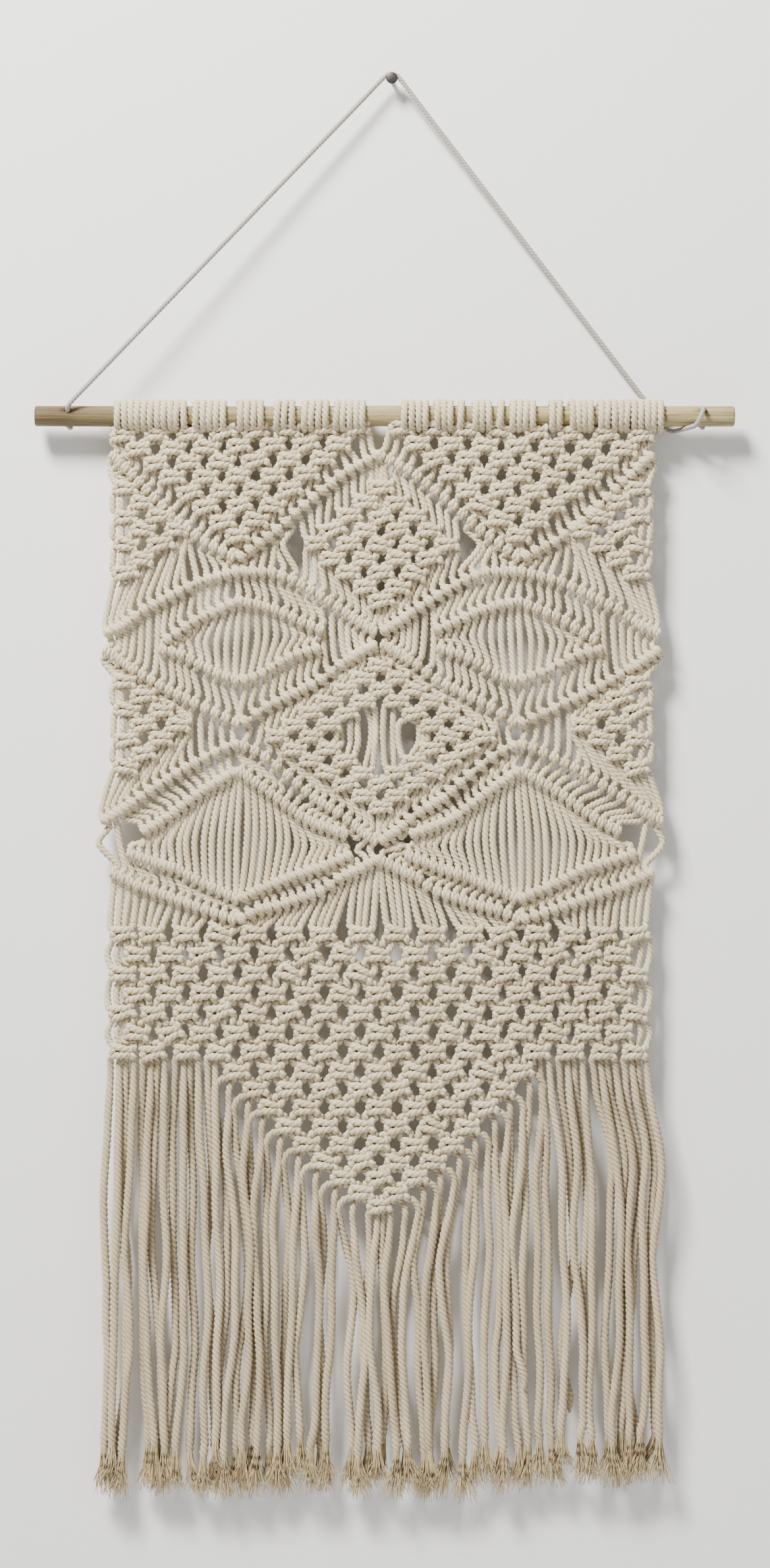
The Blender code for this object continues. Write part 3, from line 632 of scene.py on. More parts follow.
# %% Tie the lower net
NET_DROPS = (
    519.6, 531.8, 543.8, 555.8, 567.6, 579.8, 591.2, 602.8, 614.0, 625.2, 636.4, 647.2, 657.6, 667.4,
    676.6, 684.6,
)
FULL_ROWS = 7
FULL_ROW_HALF_HEIGHT = 5.7
V_ROW_HALF_HEIGHT = 5.0
HALF_COLUMNS = 16
HALF_NET = HALF_COLUMNS * 10.3


def net_x(column):
    """The columns stand a little closer towards the edges."""
    share = column / HALF_COLUMNS
    return MIDDLE_X + HALF_NET * share * (1 + 0.06 * (1 - share * share))


def lower_net():
    """Ties the rows and gives back, for each leg, the row that holds it last."""
    hem = [0] * LEGS
    for row, drop in enumerate(NET_DROPS):
        reach = (15 if row % 2 == 0 else 14) if row < FULL_ROWS else 15 - row
        half_height = FULL_ROW_HALF_HEIGHT if row < FULL_ROWS else V_ROW_HALF_HEIGHT
        for column in range(-reach, reach + 1, 2):
            first = MIDDLE_KNOT + 2 * column
            pitch = net_x(abs(column) + 1) - net_x(abs(column))
            square_knot(first, net_x(column), drop, pitch, half_height)
            for leg in range(first, first + 4):
                hem[leg] = row
        if row % 2 and row < FULL_ROWS:
            for leg, side in ((0, -16.0), (1, -15.4), (62, 15.4), (63, 16.0)):
                put(leg, net_x(side), drop, rng.normal(0.0, 0.6))
    return hem


hem_rows = lower_net()
print("hem from", NET_DROPS[min(hem_rows)], "to", NET_DROPS[max(hem_rows)], "mm below the nail")

# %% [markdown]
# ### The fringe
#
# The legs fall from the hem in bunches, with the wall showing between them. Each keeps the bend
# that the last knot gave it for a few centimetres and then hangs straight, with a slight sway.

# %% Plan of the fringe
FRINGE_LEVELS = (653.0, 713.0, 773.0, 829.0)
FRINGE_BUNCHES = (
    # legs, the bunch's middle x at each level
    (1, -173.6, -173.2, -169.6, -174.0), (3, -162.0, -162.0, -162.8, -166.8),
    (3, -149.2, -148.4, -147.6, -145.2), (2, -136.0, -135.6, -134.8, -138.8),
    (2, -124.4, -124.0, -122.0, -124.8), (3, -110.4, -110.0, -110.8, -109.2),
    (2, -100.8, -100.0, -101.6, -102.0), (2, -91.6, -89.2, -90.0, -92.0),
    (2, -82.8, -81.2, -82.8, -82.8), (2, -73.6, -72.0, -74.4, -73.2),
    (2, -61.6, -60.8, -65.6, -65.6), (1, -53.2, -52.8, -58.0, -56.0),
    (3, -41.6, -40.8, -41.0, -42.8), (4, -17.2, -17.0, -17.2, -17.6),
    (2, -4.4, -4.6, -4.0, -2.8), (2, 4.0, 3.4, 5.0, 8.4), (1, 12.8, 13.2, 14.4, 18.4),
    (2, 22.0, 22.4, 23.2, 24.4), (2, 33.2, 33.2, 32.4, 33.6), (1, 43.6, 43.6, 42.8, 41.6),
    (1, 49.0, 49.2, 49.2, 50.4), (1, 56.4, 56.8, 57.2, 58.0), (1, 63.2, 63.2, 64.0, 65.2),
    (3, 72.0, 72.8, 74.0, 74.8), (1, 80.0, 80.0, 81.6, 82.4), (1, 89.6, 89.6, 91.2, 91.6),
    (1, 96.0, 96.8, 98.0, 98.8), (3, 107.6, 108.4, 108.0, 107.2), (2, 119.6, 119.2, 118.4, 117.2),
    (8, 148.8, 146.8, 146.0, 146.4),
)
BUNCH_PITCH = {1: 0.0, 2: 4.1, 3: 4.2, 4: 4.6, 8: 4.2}
FRINGE_SIZE = 1.14
FRINGE_STEP = 14.0

# x and the drop that the rope ends come to there, and the legs that end short, without a tuft
FRINGE_FOOT = (
    (-176.0, 838.0), (-150.0, 836.0), (-124.8, 842.0), (-94.0, 838.0), (-78.0, 836.0), (-38.0, 838.0),
    (18.8, 841.0), (39.2, 841.0), (64.8, 838.0), (84.8, 836.0), (105.6, 831.0), (120.8, 830.0),
    (137.2, 832.0), (162.0, 828.0),
)
SHORT_ENDS = {47: 796.0, 52: 811.0, 54: 804.0}
print("fringe:", len(FRINGE_BUNCHES), "bunches from", sum(bunch[0] for bunch in FRINGE_BUNCHES), "legs")

# %% [markdown]
# ### Hanging the legs
#
# A simulation could let the legs fall, but knotted cotton hangs stiffly. Here each leg eases from
# its knot to its bunch's line and sways by two slow waves of its own.

# %% Hang the fringe
def hang_fringe():
    """Hangs every leg below its last knot and gives back the ends that carry a tuft."""
    ends = []
    leg = 0
    feet = np.array(FRINGE_FOOT)
    for count, *middles in FRINGE_BUNCHES:
        for index in range(count):
            shift = (index - (count - 1) / 2) * BUNCH_PITCH[count]
            layer = (2.8 if (leg % 2) else -2.4) if count > 1 else 0.0
            start_x, start_drop = legs[leg][-1][:2]
            phases = rng.uniform(0.0, 6.28, 3)
            wave = rng.uniform(0.5, 1.5)
            wander = (0.0, *rng.normal(0.0, 2.0, 2), rng.normal(0.0, 1.5))
            line = [middle + shift + stray for middle, stray in zip(middles, wander)]
            foot = float(np.interp(middles[-1] + shift, feet[:, 0], feet[:, 1])) + rng.normal(0.0, 3.0)
            foot = SHORT_ENDS.get(leg, foot)
            outward = math.copysign(1.0, start_x - MIDDLE_X)
            in_v = hem_rows[leg] >= FULL_ROWS and abs(start_x - MIDDLE_X) > 8.0
            if in_v:
                outer = leg % 2 == (0 if outward < 0 else 1)
                start_x += outward * (3.4 if outer else 2.2)
                put(leg, start_x, start_drop + (1.2 if outer else 3.6), 1.6 if outer else 0.2)
                start_x += outward * (3.0 if outer else 1.0)
                start_drop += 4.5 if outer else 6.0
                put(leg, start_x, start_drop + 2.0, 1.2)
            lead = start_drop + 10.0
            reach = (middles[0] + shift) * 0.12
            put(leg, start_x * 0.88 + reach, lead, 0.9 if layer > 0 else -0.6)
            drop = lead + FRINGE_STEP
            span = max(55.0, FRINGE_LEVELS[0] - start_drop + 12.0)
            while drop < foot - FRINGE_STEP:
                settled = min(1.0, (drop - start_drop) / span)
                settled = settled * settled * (3 - 2 * settled)
                hang = float(np.interp(drop, FRINGE_LEVELS, line))
                sway = wave * (math.sin(drop / 29.0 + phases[0]) + 0.7 * math.sin(drop / 13.0 + phases[1]))
                depth = layer + 1.2 * math.sin(drop / 21.0 + phases[2])
                put(leg, start_x + (hang - start_x) * settled + sway * settled, drop, depth, FRINGE_SIZE)
                drop += FRINGE_STEP
            x = line[-1] + wave * math.sin(foot / 29.0 + phases[0])
            put(leg, x, foot - 8.0, layer, FRINGE_SIZE)
            put(leg, x, foot, layer, 0.4)
            if leg not in SHORT_ENDS:
                ends.append((x, foot, layer))
            leg += 1
    return ends


# The points so far belong to the panel, and those that follow to the fringe
panel_counts = [len(leg) for leg in legs]
rope_ends = hang_fringe()
print("frayed ends:", len(rope_ends), "longest drop", round(max(end[1] for end in rope_ends), 1))

# %% [markdown]
# ## From paths to rope
#
# A path is a handful of points, so it is first led through a smooth curve. Blender's own curves
# would do, but this one passes through every point and doesn't swing wide where a long loose
# stretch meets a tight knot.

# %% Smooth curve
# Millimetres between two points of a leg's curve
STEP = 1.6


def smooth_path(points, spacing):
    """Points evenly spread on a centripetal curve through the given ones; columns after 3 follow."""
    points = np.asarray(points, float)
    keep = np.r_[True, np.linalg.norm(np.diff(points[:, :3], axis=0), axis=1) > 0.05]
    points = points[keep]
    gaps = np.linalg.norm(np.diff(points[:, :3], axis=0), axis=1)
    steps = np.sqrt(gaps)[:, None]
    slopes = np.diff(points, axis=0) / steps
    tangents = np.empty_like(points)
    tangents[0], tangents[-1] = slopes[0], slopes[-1]
    tangents[1:-1] = slopes[1:] * steps[:-1] + slopes[:-1] * steps[1:]
    tangents[1:-1] /= steps[1:] + steps[:-1]
    counts = np.maximum(1, np.ceil(gaps * 1.08 / spacing)).astype(int)
    index = np.repeat(np.arange(len(gaps)), counts)
    first = np.repeat(np.cumsum(counts) - counts, counts)
    t = ((np.arange(counts.sum()) - first) / counts[index])[:, None]
    start, end = points[index], points[index + 1]
    pull_start, pull_end = tangents[index] * steps[index], tangents[index + 1] * steps[index]
    curve = (
        (2 * t**3 - 3 * t**2 + 1) * start + (t**3 - 2 * t**2 + t) * pull_start
        + (3 * t**2 - 2 * t**3) * end + (t**3 - t**2) * pull_end
    )
    return np.vstack([curve, points[-1]])


print("points on the longest leg's curve:", max(len(smooth_path(leg, STEP)) for leg in legs))

# %% [markdown]
# ### The twisted section
#
# A section with three lobes, one for each ply, is carried along the curve. It turns once every
# 9.6 mm, which is the lay of the rope, so the plies wind round each other as spun ones do.

# %% Sweep
PLIES = 3
LAY = 9.6
LOBE = 0.15


def frames(centres):
    """Unit directions along the path and across it, carried on without twist."""
    along = np.gradient(centres, axis=0)
    along /= np.linalg.norm(along, axis=1)[:, None]
    across = np.empty_like(along)
    held = np.array([0.0, -1.0, 0.0]) if abs(along[0][1]) < 0.9 else np.array([1.0, 0.0, 0.0])
    for row, direction in enumerate(along):
        held = held - direction * held.dot(direction)
        held /= math.sqrt(held.dot(held))
        across[row] = held
    return along, across, np.cross(along, across)


def tube(centres, radii, sides, lay, lobe, start_turn, part):
    """Vertices, triangles and texture coordinates of one part of a path's tube with twisted lobes."""
    along, across, up = frames(centres)
    lengths = np.r_[0.0, np.cumsum(np.linalg.norm(np.diff(centres, axis=0), axis=1))]
    centres, across, up, lengths = centres[part], across[part], up[part], lengths[part]
    around = 2 * np.pi * np.arange(sides) / sides
    turn = start_turn + 2 * np.pi * lengths / lay
    angle = around[None, :] - turn[:, None]
    radius = radii[:, None] * (1 + lobe * np.cos(PLIES * around)[None, :])
    verts = centres[:, None, :] + radius[..., None] * (
        np.cos(angle)[..., None] * across[:, None, :] + np.sin(angle)[..., None] * up[:, None, :]
    )
    rings = len(centres)
    base = (np.arange(rings - 1) * sides)[:, None]
    side = np.arange(sides)[None, :]
    beyond = (side + 1) % sides
    corners = (base + side, base + beyond, base + sides + beyond, base + sides + side)
    us = (side + 0 * base, side + 1 + 0 * base, side + 1 + 0 * base, side + 0 * base)
    start, end = lengths[:-1, None] + 0.0 * side, lengths[1:, None] + 0.0 * side
    vs = (start, start, end, end)
    order = (0, 1, 2, 0, 2, 3)
    triangles = np.stack([corners[k] for k in order], axis=-1).reshape(-1, 3)
    coords = np.stack([
        np.stack([us[k] for k in order], axis=-1) / sides, np.stack([vs[k] for k in order], axis=-1) / lay,
    ], axis=-1)
    return verts.reshape(-1, 3), triangles, coords.reshape(-1, 2)


print("a rope of", PLIES, "plies measures", round(2 * ROPE * (1 + LOBE), 2), "mm over its lobes")

# %% [markdown]
# ### Bundles
#
# Sixty-four ropes as sixty-four objects would be slow to handle. A bundle joins many tubes in one
# mesh, closes their ends, and keeps for each rope its texture coordinates and a tone of its own.

# %% Bundle
ROPE_SIDES = 6


class Bundle:
    """Several tubes in one piece, with their texture coordinates and a tone for each tube."""

    def __init__(self):
        self.verts, self.triangles, self.coords, self.tones, self.count = [], [], [], [], 0
        self.caps = []

    def add(self, centres, radii, tone=0.5, start_turn=0.0, part=slice(None), sides=ROPE_SIDES, lay=LAY,
            lobe=LOBE):
        verts, triangles, coords = tube(centres, radii, sides, lay, lobe, start_turn, part)
        self.caps.append((self.count, self.count + len(verts) - sides, sides))
        self.verts.append(verts)
        self.triangles.append(triangles + self.count)
        self.coords.append(coords)
        self.tones.append(np.full(len(verts), tone))
        self.count += len(verts)

    def build(self, name, look, slot):
        triangles = np.vstack(self.triangles)
        verts = np.vstack(self.verts) * MM
        loops = [triangles.reshape(-1)]
        sizes = [np.full(len(triangles), 3)]
        coords = [np.vstack(self.coords)]
        for first, last, sides in self.caps:
            loops += [np.arange(first, first + sides)[::-1], np.arange(last, last + sides)]
            sizes.append(np.array([sides, sides]))
            coords.append(np.zeros((2 * sides, 2)))
        loops, sizes, coords = np.concatenate(loops), np.concatenate(sizes), np.vstack(coords)
        mesh = bpy.data.meshes.new(name)
        mesh.vertices.add(len(verts))
        mesh.vertices.foreach_set("co", verts.astype(np.float32).reshape(-1))
        mesh.loops.add(len(loops))
        mesh.loops.foreach_set("vertex_index", loops.astype(np.int32))
        mesh.polygons.add(len(sizes))
        starts = np.r_[0, np.cumsum(sizes)[:-1]]
        mesh.polygons.foreach_set("loop_start", starts.astype(np.int32))
        mesh.polygons.foreach_set("use_smooth", np.ones(len(sizes), bool))
        layer = mesh.uv_layers.new(name="rope")
        layer.data.foreach_set("uv", coords.astype(np.float32).reshape(-1))
        tone = mesh.attributes.new("tone", "FLOAT", "POINT")
        tone.data.foreach_set("value", np.concatenate(self.tones).astype(np.float32))
        mesh.update(calc_edges=True)
        mesh.validate()
        mesh.materials.append(look)
        piece = bpy.data.objects.new(name, mesh)
        scene.collection.objects.link(piece)
        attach(piece, "root")
        count = len(triangles) + sum(2 * (sides - 2) for _, _, sides in self.caps)
        print(f"{name}: {count} triangles")
        return piece


longest = max(len(smooth_path(leg, STEP)) for leg in legs)
print("the longest leg's mesh: about", 2 * ROPE_SIDES * longest, "triangles")

# %% [markdown]
# ### From the plan into the room
#
# The plan's x stays as it is. Its drop becomes a height below the nail, and n is taken off the
# depth, because the room's y runs back towards the wall.

# %% Into the room
def to_room(points):
    """(x, drop, n) on the panel's plan to (x, y, z), in millimetres."""
    points = np.asarray(points, float)
    placed = points.copy()
    placed[:, 1] = PLANE_Y - points[:, 2]
    placed[:, 2] = -points[:, 1]
    return placed


print("the panel's middle at its hem:", to_room([(MIDDLE_X, NET_DROPS[-1], 0.0)])[0])

# %% [markdown]
# ### Cotton
#
# The rope is undyed cotton: pale, warm and quite matt. Its look is built from Blender's own noise and
# a little arithmetic. Two helpers add a node and set or link its sockets in one line.

# %% Helpers for materials
def node_maker(look):
    """Gives back a material's nodes and links, and functions that add any node or a Math node."""
    nodes, links = look.node_tree.nodes, look.node_tree.links

    def make(kind, inputs=(), **settings):
        node = nodes.new(kind)
        for name, value in settings.items():
            setattr(node, name, value)
        for key, value in dict(inputs).items():
            if isinstance(value, bpy.types.NodeSocket):
                links.new(value, node.inputs[key])
            else:
                node.inputs[key].default_value = value
        return node

    def maths(operation, *values):
        return make("ShaderNodeMath", dict(enumerate(values)), operation=operation).outputs[0]

    return nodes, links, make, maths


def mixed_colour(make, factor, first, second):
    """Mixes two colours. Inputs 6 and 7 and output 2 are the Mix node's sockets for colours."""
    node = make("ShaderNodeMix", data_type="RGBA")
    for socket, value in ((node.inputs["Factor"], factor), (node.inputs[6], first), (node.inputs[7], second)):
        if isinstance(value, bpy.types.NodeSocket):
            node.id_data.links.new(value, socket)
        else:
            socket.default_value = value
    return node.outputs[2]


print("helpers ready:", node_maker.__name__, "and", mixed_colour.__name__)

# %% [markdown]
# ### The look of a rope
#
# The grooves between the plies are painted darker, as painted shade for the shade that falls into
# them. The surface is roughened by fine fibres that lie along each ply, and the tone wanders a
# little along each leg, so that no two legs are quite alike. The plies' place comes from the texture
# coordinates, so the grooves and their painted shade wind with the twist.

# %% Look of a rope
def rope_look(name, light, dark, painted_groove_shade, bump=0.35):
    """Cotton that wanders from light to dark, with painted shade in the grooves between the plies."""
    look = bpy.data.materials.new(name)
    look.use_nodes = True
    nodes, links, make, maths = node_maker(look)
    shader = nodes["Principled BSDF"]
    uv = make("ShaderNodeUVMap", uv_map="rope").outputs["UV"]
    split = make("ShaderNodeSeparateXYZ", {"Vector": uv})
    around, along = split.outputs["X"], split.outputs["Y"]
    lobe = maths("ABSOLUTE", maths("COSINE", maths("MULTIPLY", around, math.pi * PLIES)))
    ply = maths("POWER", lobe, 0.7)
    place = make("ShaderNodeTexCoord").outputs["Object"]
    tone = make("ShaderNodeAttribute", attribute_name="tone").outputs["Fac"]
    patches = make("ShaderNodeTexNoise", {"Vector": place, "Scale": 55.0, "Detail": 3.0}).outputs["Fac"]
    stretched = make("ShaderNodeCombineXYZ", {"X": maths("MULTIPLY", around, 34.0),
                                              "Y": maths("MULTIPLY", along, 5.0), "Z": tone})
    fibres = make("ShaderNodeTexNoise", {"Vector": stretched.outputs[0], "Scale": 1.6, "Detail": 4.0,
                                         "Roughness": 0.7}).outputs["Fac"]
    shade = maths("ADD", maths("MULTIPLY", patches, 0.9), maths("MULTIPLY", tone, 0.8))
    body = mixed_colour(make, maths("SUBTRACT", shade, 0.3), dark, light)
    fibre_shade = make("ShaderNodeMapRange", {"Value": fibres, "From Min": 0.3, "From Max": 0.7,
                                              "To Min": 0.88, "To Max": 1.06}).outputs[0]
    fibred = make("ShaderNodeVectorMath", {0: body, "Scale": fibre_shade}, operation="SCALE").outputs[0]
    # Painted shade: between the plies the colour is pulled towards the groove colour, standing in for the
    # shade that falls into the grooves.
    painted_groove_mask = make("ShaderNodeMapRange", {"Value": ply, "From Min": 0.25, "From Max": 0.85,
                                            "To Min": 1.0, "To Max": 0.0}).outputs[0]
    colour = mixed_colour(make, maths("MULTIPLY", painted_groove_mask, 0.45), fibred, painted_groove_shade)
    links.new(colour, shader.inputs["Base Color"])
    height = maths("ADD", ply, maths("MULTIPLY", fibres, 0.5))
    raised = make("ShaderNodeBump", {"Height": height, "Strength": bump, "Distance": 0.0012})
    links.new(raised.outputs["Normal"], shader.inputs["Normal"])
    rough = make("ShaderNodeMapRange", {"Value": fibres, "To Min": 0.82, "To Max": 1.0}).outputs[0]
    links.new(rough, shader.inputs["Roughness"])
    shader.inputs["Specular IOR Level"].default_value = 0.2
    shader.inputs["Sheen Weight"].default_value = 0.15
    shader.inputs["Sheen Roughness"].default_value = 0.5
    return look


print("a rope's look has", PLIES, "grooves round it")

# %% [markdown]
# ### Four cottons
#
# The panel is the palest. The fringe is the same rope in a darker, warmer copy of the panel's
# cotton, whose darkness is painted shade for the dimmer light low down and the shadow among its
# hanging legs. The loose fibres at its ends are browner, and the hanger is a thinner, greyer cord
# of another make.

# %% Four cottons
# The last colour given to each cotton is painted shade, laid into the grooves between its plies.
cotton = rope_look("cotton rope", (0.80, 0.705, 0.515, 1.0), (0.63, 0.525, 0.345, 1.0),
                   (0.34, 0.245, 0.13, 1.0), bump=0.5)
# A darker copy of the panel's cotton for the fringe: its darkness is painted shade for the shadow among the
# hanging legs.
fringe_cotton_painted_shade = rope_look("cotton rope of the fringe in painted shade", (0.68, 0.575, 0.40, 1.0), (0.47, 0.38, 0.235, 1.0),
                          (0.21, 0.145, 0.072, 1.0), bump=0.5)
tuft_cotton = rope_look("loose cotton fibres", (0.70, 0.565, 0.335, 1.0), (0.52, 0.39, 0.20, 1.0),
                        (0.45, 0.32, 0.14, 1.0), bump=0.1)
hanger_cotton = rope_look("hanger cord", (0.50, 0.475, 0.43, 1.0), (0.37, 0.35, 0.31, 1.0),
                          (0.16, 0.15, 0.13, 1.0))
print("cotton looks:", [look.name for look in (cotton, fringe_cotton_painted_shade, tuft_cotton, hanger_cotton)])

# %% [markdown]
# ### The ropes themselves
#
# Every leg is swept once, from the dowel to its end, so its twist runs on without a break. The
# sweep is then shared between the panel and the fringe, which are two pieces of the frame. The two
# parts lap inside each other at the last knot.

# %% Sweep the legs
# The panel's pieces, the fringe's, and the points by which they lap at the hem
PIECES = 5
FRINGE_PIECES = 2
LAP = 2


def cut_end(radii, end):
    """The end of a rope that is laid inside its own other half, drawn in a little so it can't show."""
    radii = radii.copy()
    radii[end] *= 0.6
    return radii


def panel_and_fringe():
    """Each leg is one sweep, shared between the panel's piece and the fringe's below the last knot."""
    panels = [Bundle() for _ in range(PIECES)]
    fringes = [Bundle() for _ in range(FRINGE_PIECES)]
    for leg, route in enumerate(legs):
        route = to_room(route)
        smooth = smooth_path(route, STEP)
        centres, radii = smooth[:, :3], smooth[:, 3] * ROPE
        at = int(np.argmin(np.linalg.norm(centres - route[panel_counts[leg] - 1, :3], axis=1)))
        tone, turn = rng.uniform(0.2, 0.8), rng.uniform(0.0, 6.28)
        upper, lower = slice(0, at + LAP + 1), slice(at, len(centres))
        panels[leg * PIECES // LEGS].add(centres, cut_end(radii[upper], -1), tone, turn, upper)
        fringes[leg * FRINGE_PIECES // LEGS].add(centres, cut_end(radii[lower], 0), tone, turn, lower)
    return panels, fringes


panel_bundles, fringe_bundles = panel_and_fringe()
for number, bundle in enumerate(panel_bundles):
    piece = bundle.build(f"panel_ropes_{number + 1}", cotton, "cotton_rope")
    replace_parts(piece, "knotted_panel")
# The fringe's pieces take the darker cotton, painted shade for the dimmer light and the shadow among its
# legs.
for number, bundle in enumerate(fringe_bundles):
    piece = bundle.build(f"fringe_ropes_{number + 1}", fringe_cotton_painted_shade, "cotton_rope")
    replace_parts(piece, "fringe")

# %% [markdown]
# ### Carriers
#
# The carrier of a line of half hitches is a rope that the hitches almost hide. It shows only
# between two of them, but without it light would fall through the line.

# %% Carriers inside the hitch lines
carriers = Bundle()
for name, (_, _, route) in LINES.items():
    for _, _, place in both_columns():
        spots = [(place(x), drop, 0.2, 0.9) for x, drop in route]
        smooth = smooth_path(to_room(spots), 2.0)
        carriers.add(smooth[:, :3], smooth[:, 3] * ROPE, tone=0.4)
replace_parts(carriers.build("carriers", cotton, "cotton_rope"), "knotted_panel")

# %% [markdown]
# ### Tufts
#
# The ends are not whipped, so each has opened into fibres over the last two centimetres. A particle
# system could grow them, but short thin tubes keep their shape in any program.

# %% Tufts
FIBRES = 58


def tuft(bundle, x, drop, n):
    """Fibres that leave the end of one rope and splay out like a small brush."""
    length = rng.uniform(16.0, 22.0)
    lean = rng.normal(0.0, 0.16)
    flare = rng.uniform(3.6, 5.6)
    for _ in range(FIBRES):
        angle, out = rng.uniform(0.0, 6.28), math.sqrt(rng.uniform(0.02, 1.0))
        dx, dn = math.cos(angle) * out, math.sin(angle) * out
        reach = length * rng.uniform(0.6, 1.1)
        curl = rng.normal(0.0, 0.9, 3)
        spots = [
            (x + dx * 1.6, drop - 10.0, n + dn * 1.6, 1.0),
            (x + dx * 2.3, drop - 3.0, n + dn * 2.3, 1.0),
            (x + dx * (1.9 + flare * 0.4) + lean * reach * 0.3 + curl[0] * 0.5, drop + reach * 0.33,
             n + dn * 2.2, 1.0),
            (x + dx * (1.9 + flare * 0.9) + lean * reach * 0.65 + curl[1], drop + reach * 0.67,
             n + dn * 2.6, 0.9),
            (x + dx * (1.9 + flare * 1.4) + lean * reach + curl[2] * 1.3, drop + reach, n + dn * 3.0, 0.5),
        ]
        smooth = smooth_path(to_room(spots), 6.0)
        bundle.add(smooth[:, :3], smooth[:, 3] * rng.uniform(0.20, 0.34), rng.uniform(0.0, 1.0), sides=3,
                   lobe=0.0)


def tufts():
    bundle = Bundle()
    for end in rope_ends:
        tuft(bundle, *end)
    return bundle


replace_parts(tufts().build("tufts", tuft_cotton, "cotton_rope"), "fringe")

# %% [markdown]
# ## Hanger cord
#
# The hanger is a thinner, greyer cord. It comes out of the left hole, lies over the nail behind its
# head and goes down behind the last turns of rope. Then it goes under the dowel and curls up into
# the right hole. A knot behind each hole stops it.

# %% Straights and bends
# The cord's radius and lay, the tightest bend of its middle line, the corner that it would make over
# the nail if it were sharp, and the x and y where it passes behind the last turns of rope
HANGER = 1.4
HANGER_LAY = 7.0
BEND = 5.6
NAIL_CORNER = Vector((0.2, -9.0, 6.0))
BEHIND = (165.0, -1.5)


def rounded_corner(before, corner, after, radius, step):
    """Points on an arc that rounds off a corner."""
    back = (before - corner).normalized()
    ahead = (after - corner).normalized()
    half = back.angle(ahead) / 2
    middle = corner + (back + ahead).normalized() * (radius / math.sin(half))
    first = (corner + back * (radius / math.tan(half)) - middle).normalized()
    last = (corner + ahead * (radius / math.tan(half)) - middle).normalized()
    count = max(2, round(first.angle(last) * radius / step))
    return [middle + first.slerp(last, index / count) * radius for index in range(count + 1)]


def straight(start, end, step):
    """Points between a start and an end, without either."""
    count = max(1, round((end - start).length / step))
    return [start.lerp(end, index / count) for index in range(1, count)]


sample = straight(Vector(), Vector((300.0, 0.0, 0.0)), 20.0)
print("points inside a straight of 300 mm:", len(sample))

# %% [markdown]
# ### Under the dowel
#
# At the right the cord comes down behind the dowel, turns forward under it and curls up into the
# hole. It moves sideways all the while, less and less, so that it enters the hole straight.

# %% Under the dowel
# The way out of a hole's front, and the way up that is square to it
HOLE_OUT = Vector((0.0, -math.cos(HOLE_RISE), math.sin(HOLE_RISE)))
HOLE_UP = Vector((0.0, HOLE_OUT.z, -HOLE_OUT.y))


def under_the_dowel(out, up):
    """From behind the rope turns, under the dowel, out in a loop and into the right hole."""
    centre = Vector((HOLES_X[1], PLANE_Y, -DOWEL_DROP))
    wrap = DOWEL_RADIUS + HANGER + 0.3
    loop_out, loop_up = DOWEL_RADIUS + 0.3, -BEND
    lean = math.acos((wrap - BEND) / math.hypot(loop_out, loop_up))
    leaving = math.atan2(loop_up, loop_out) - lean
    normal = out * math.cos(leaving) + up * math.sin(leaving)
    ahead = up * math.cos(leaving) - out * math.sin(leaving)
    tangent = centre + normal * wrap
    corner = tangent - ahead * ((tangent.y - BEHIND[1]) / ahead.y)
    above = Vector((corner.x, NAIL_CORNER.y, NAIL_CORNER.z))
    spots = rounded_corner(above, corner, tangent, BEND, 2.2)
    loop = centre + out * loop_out + up * loop_up
    spots += straight(spots[-1], loop + normal * BEND, 3.0)
    for index in range(11):
        turn = leaving + (math.pi / 2 - leaving) * index / 10
        spots.append(loop + (out * math.cos(turn) + up * math.sin(turn)) * BEND)
    slope = (BEHIND[0] - NAIL_CORNER.x) / (NAIL_CORNER.z - spots[0].z)
    lengths = [0.0]
    for spot, after in zip(spots, spots[1:]):
        lengths.append(lengths[-1] + (after - spot).length)
    mean = (HOLES_X[1] - BEHIND[0]) / (slope * lengths[-1])
    power = mean / (1.0 - mean)
    for spot, length in zip(spots, lengths):
        share = length / lengths[-1]
        spot.x = BEHIND[0] + slope * length * (1.0 - share**power / (power + 1.0))
    return spots


print("points under the dowel:", len(under_the_dowel(HOLE_OUT, HOLE_UP)))

# %% [markdown]
# ### The whole route
#
# The cord is held tight between the holes and the nail, so its two sides are straight. The length
# of the finished curve is measured, because a cord is bought and cut by its length.

# %% Cord
def hanger_route():
    """Left hole, over the nail, behind the rope, under the dowel and into the right hole."""
    out, up = HOLE_OUT, HOLE_UP
    left_axis = Vector((HOLES_X[0], PLANE_Y, -DOWEL_DROP))
    right_axis = Vector((HOLES_X[1], PLANE_Y, -DOWEL_DROP))
    wrap = under_the_dowel(out, up)
    left_end, right_end = left_axis - out * DOWEL_RADIUS, right_axis - out * DOWEL_RADIUS
    left_corner = left_axis + out * (DOWEL_RADIUS + 4.4)
    corner = rounded_corner(left_end, left_corner, NAIL_CORNER, BEND, 2.2)
    over_nail = rounded_corner(left_corner, NAIL_CORNER, wrap[0], BEND, 2.0)
    return [
        left_end, *straight(left_end, corner[0], 5.0), *corner,
        *straight(corner[-1], over_nail[0], 20.0), *over_nail,
        *straight(over_nail[-1], wrap[0], 20.0), *wrap,
        *straight(wrap[-1], right_end, 5.0), right_end,
    ]


def hanger_cord():
    spots = np.array([(*spot, 1.0) for spot in hanger_route()])
    smooth = smooth_path(spots, 1.1)
    bundle = Bundle()
    bundle.add(smooth[:, :3], smooth[:, 3] * HANGER, lay=HANGER_LAY)
    piece = bundle.build("hanger_twist", hanger_cotton, "hanger_cotton")
    length = float(np.linalg.norm(np.diff(smooth[:, :3], axis=0), axis=1).sum())
    return piece, smooth[:, :3] * MM, length * MM


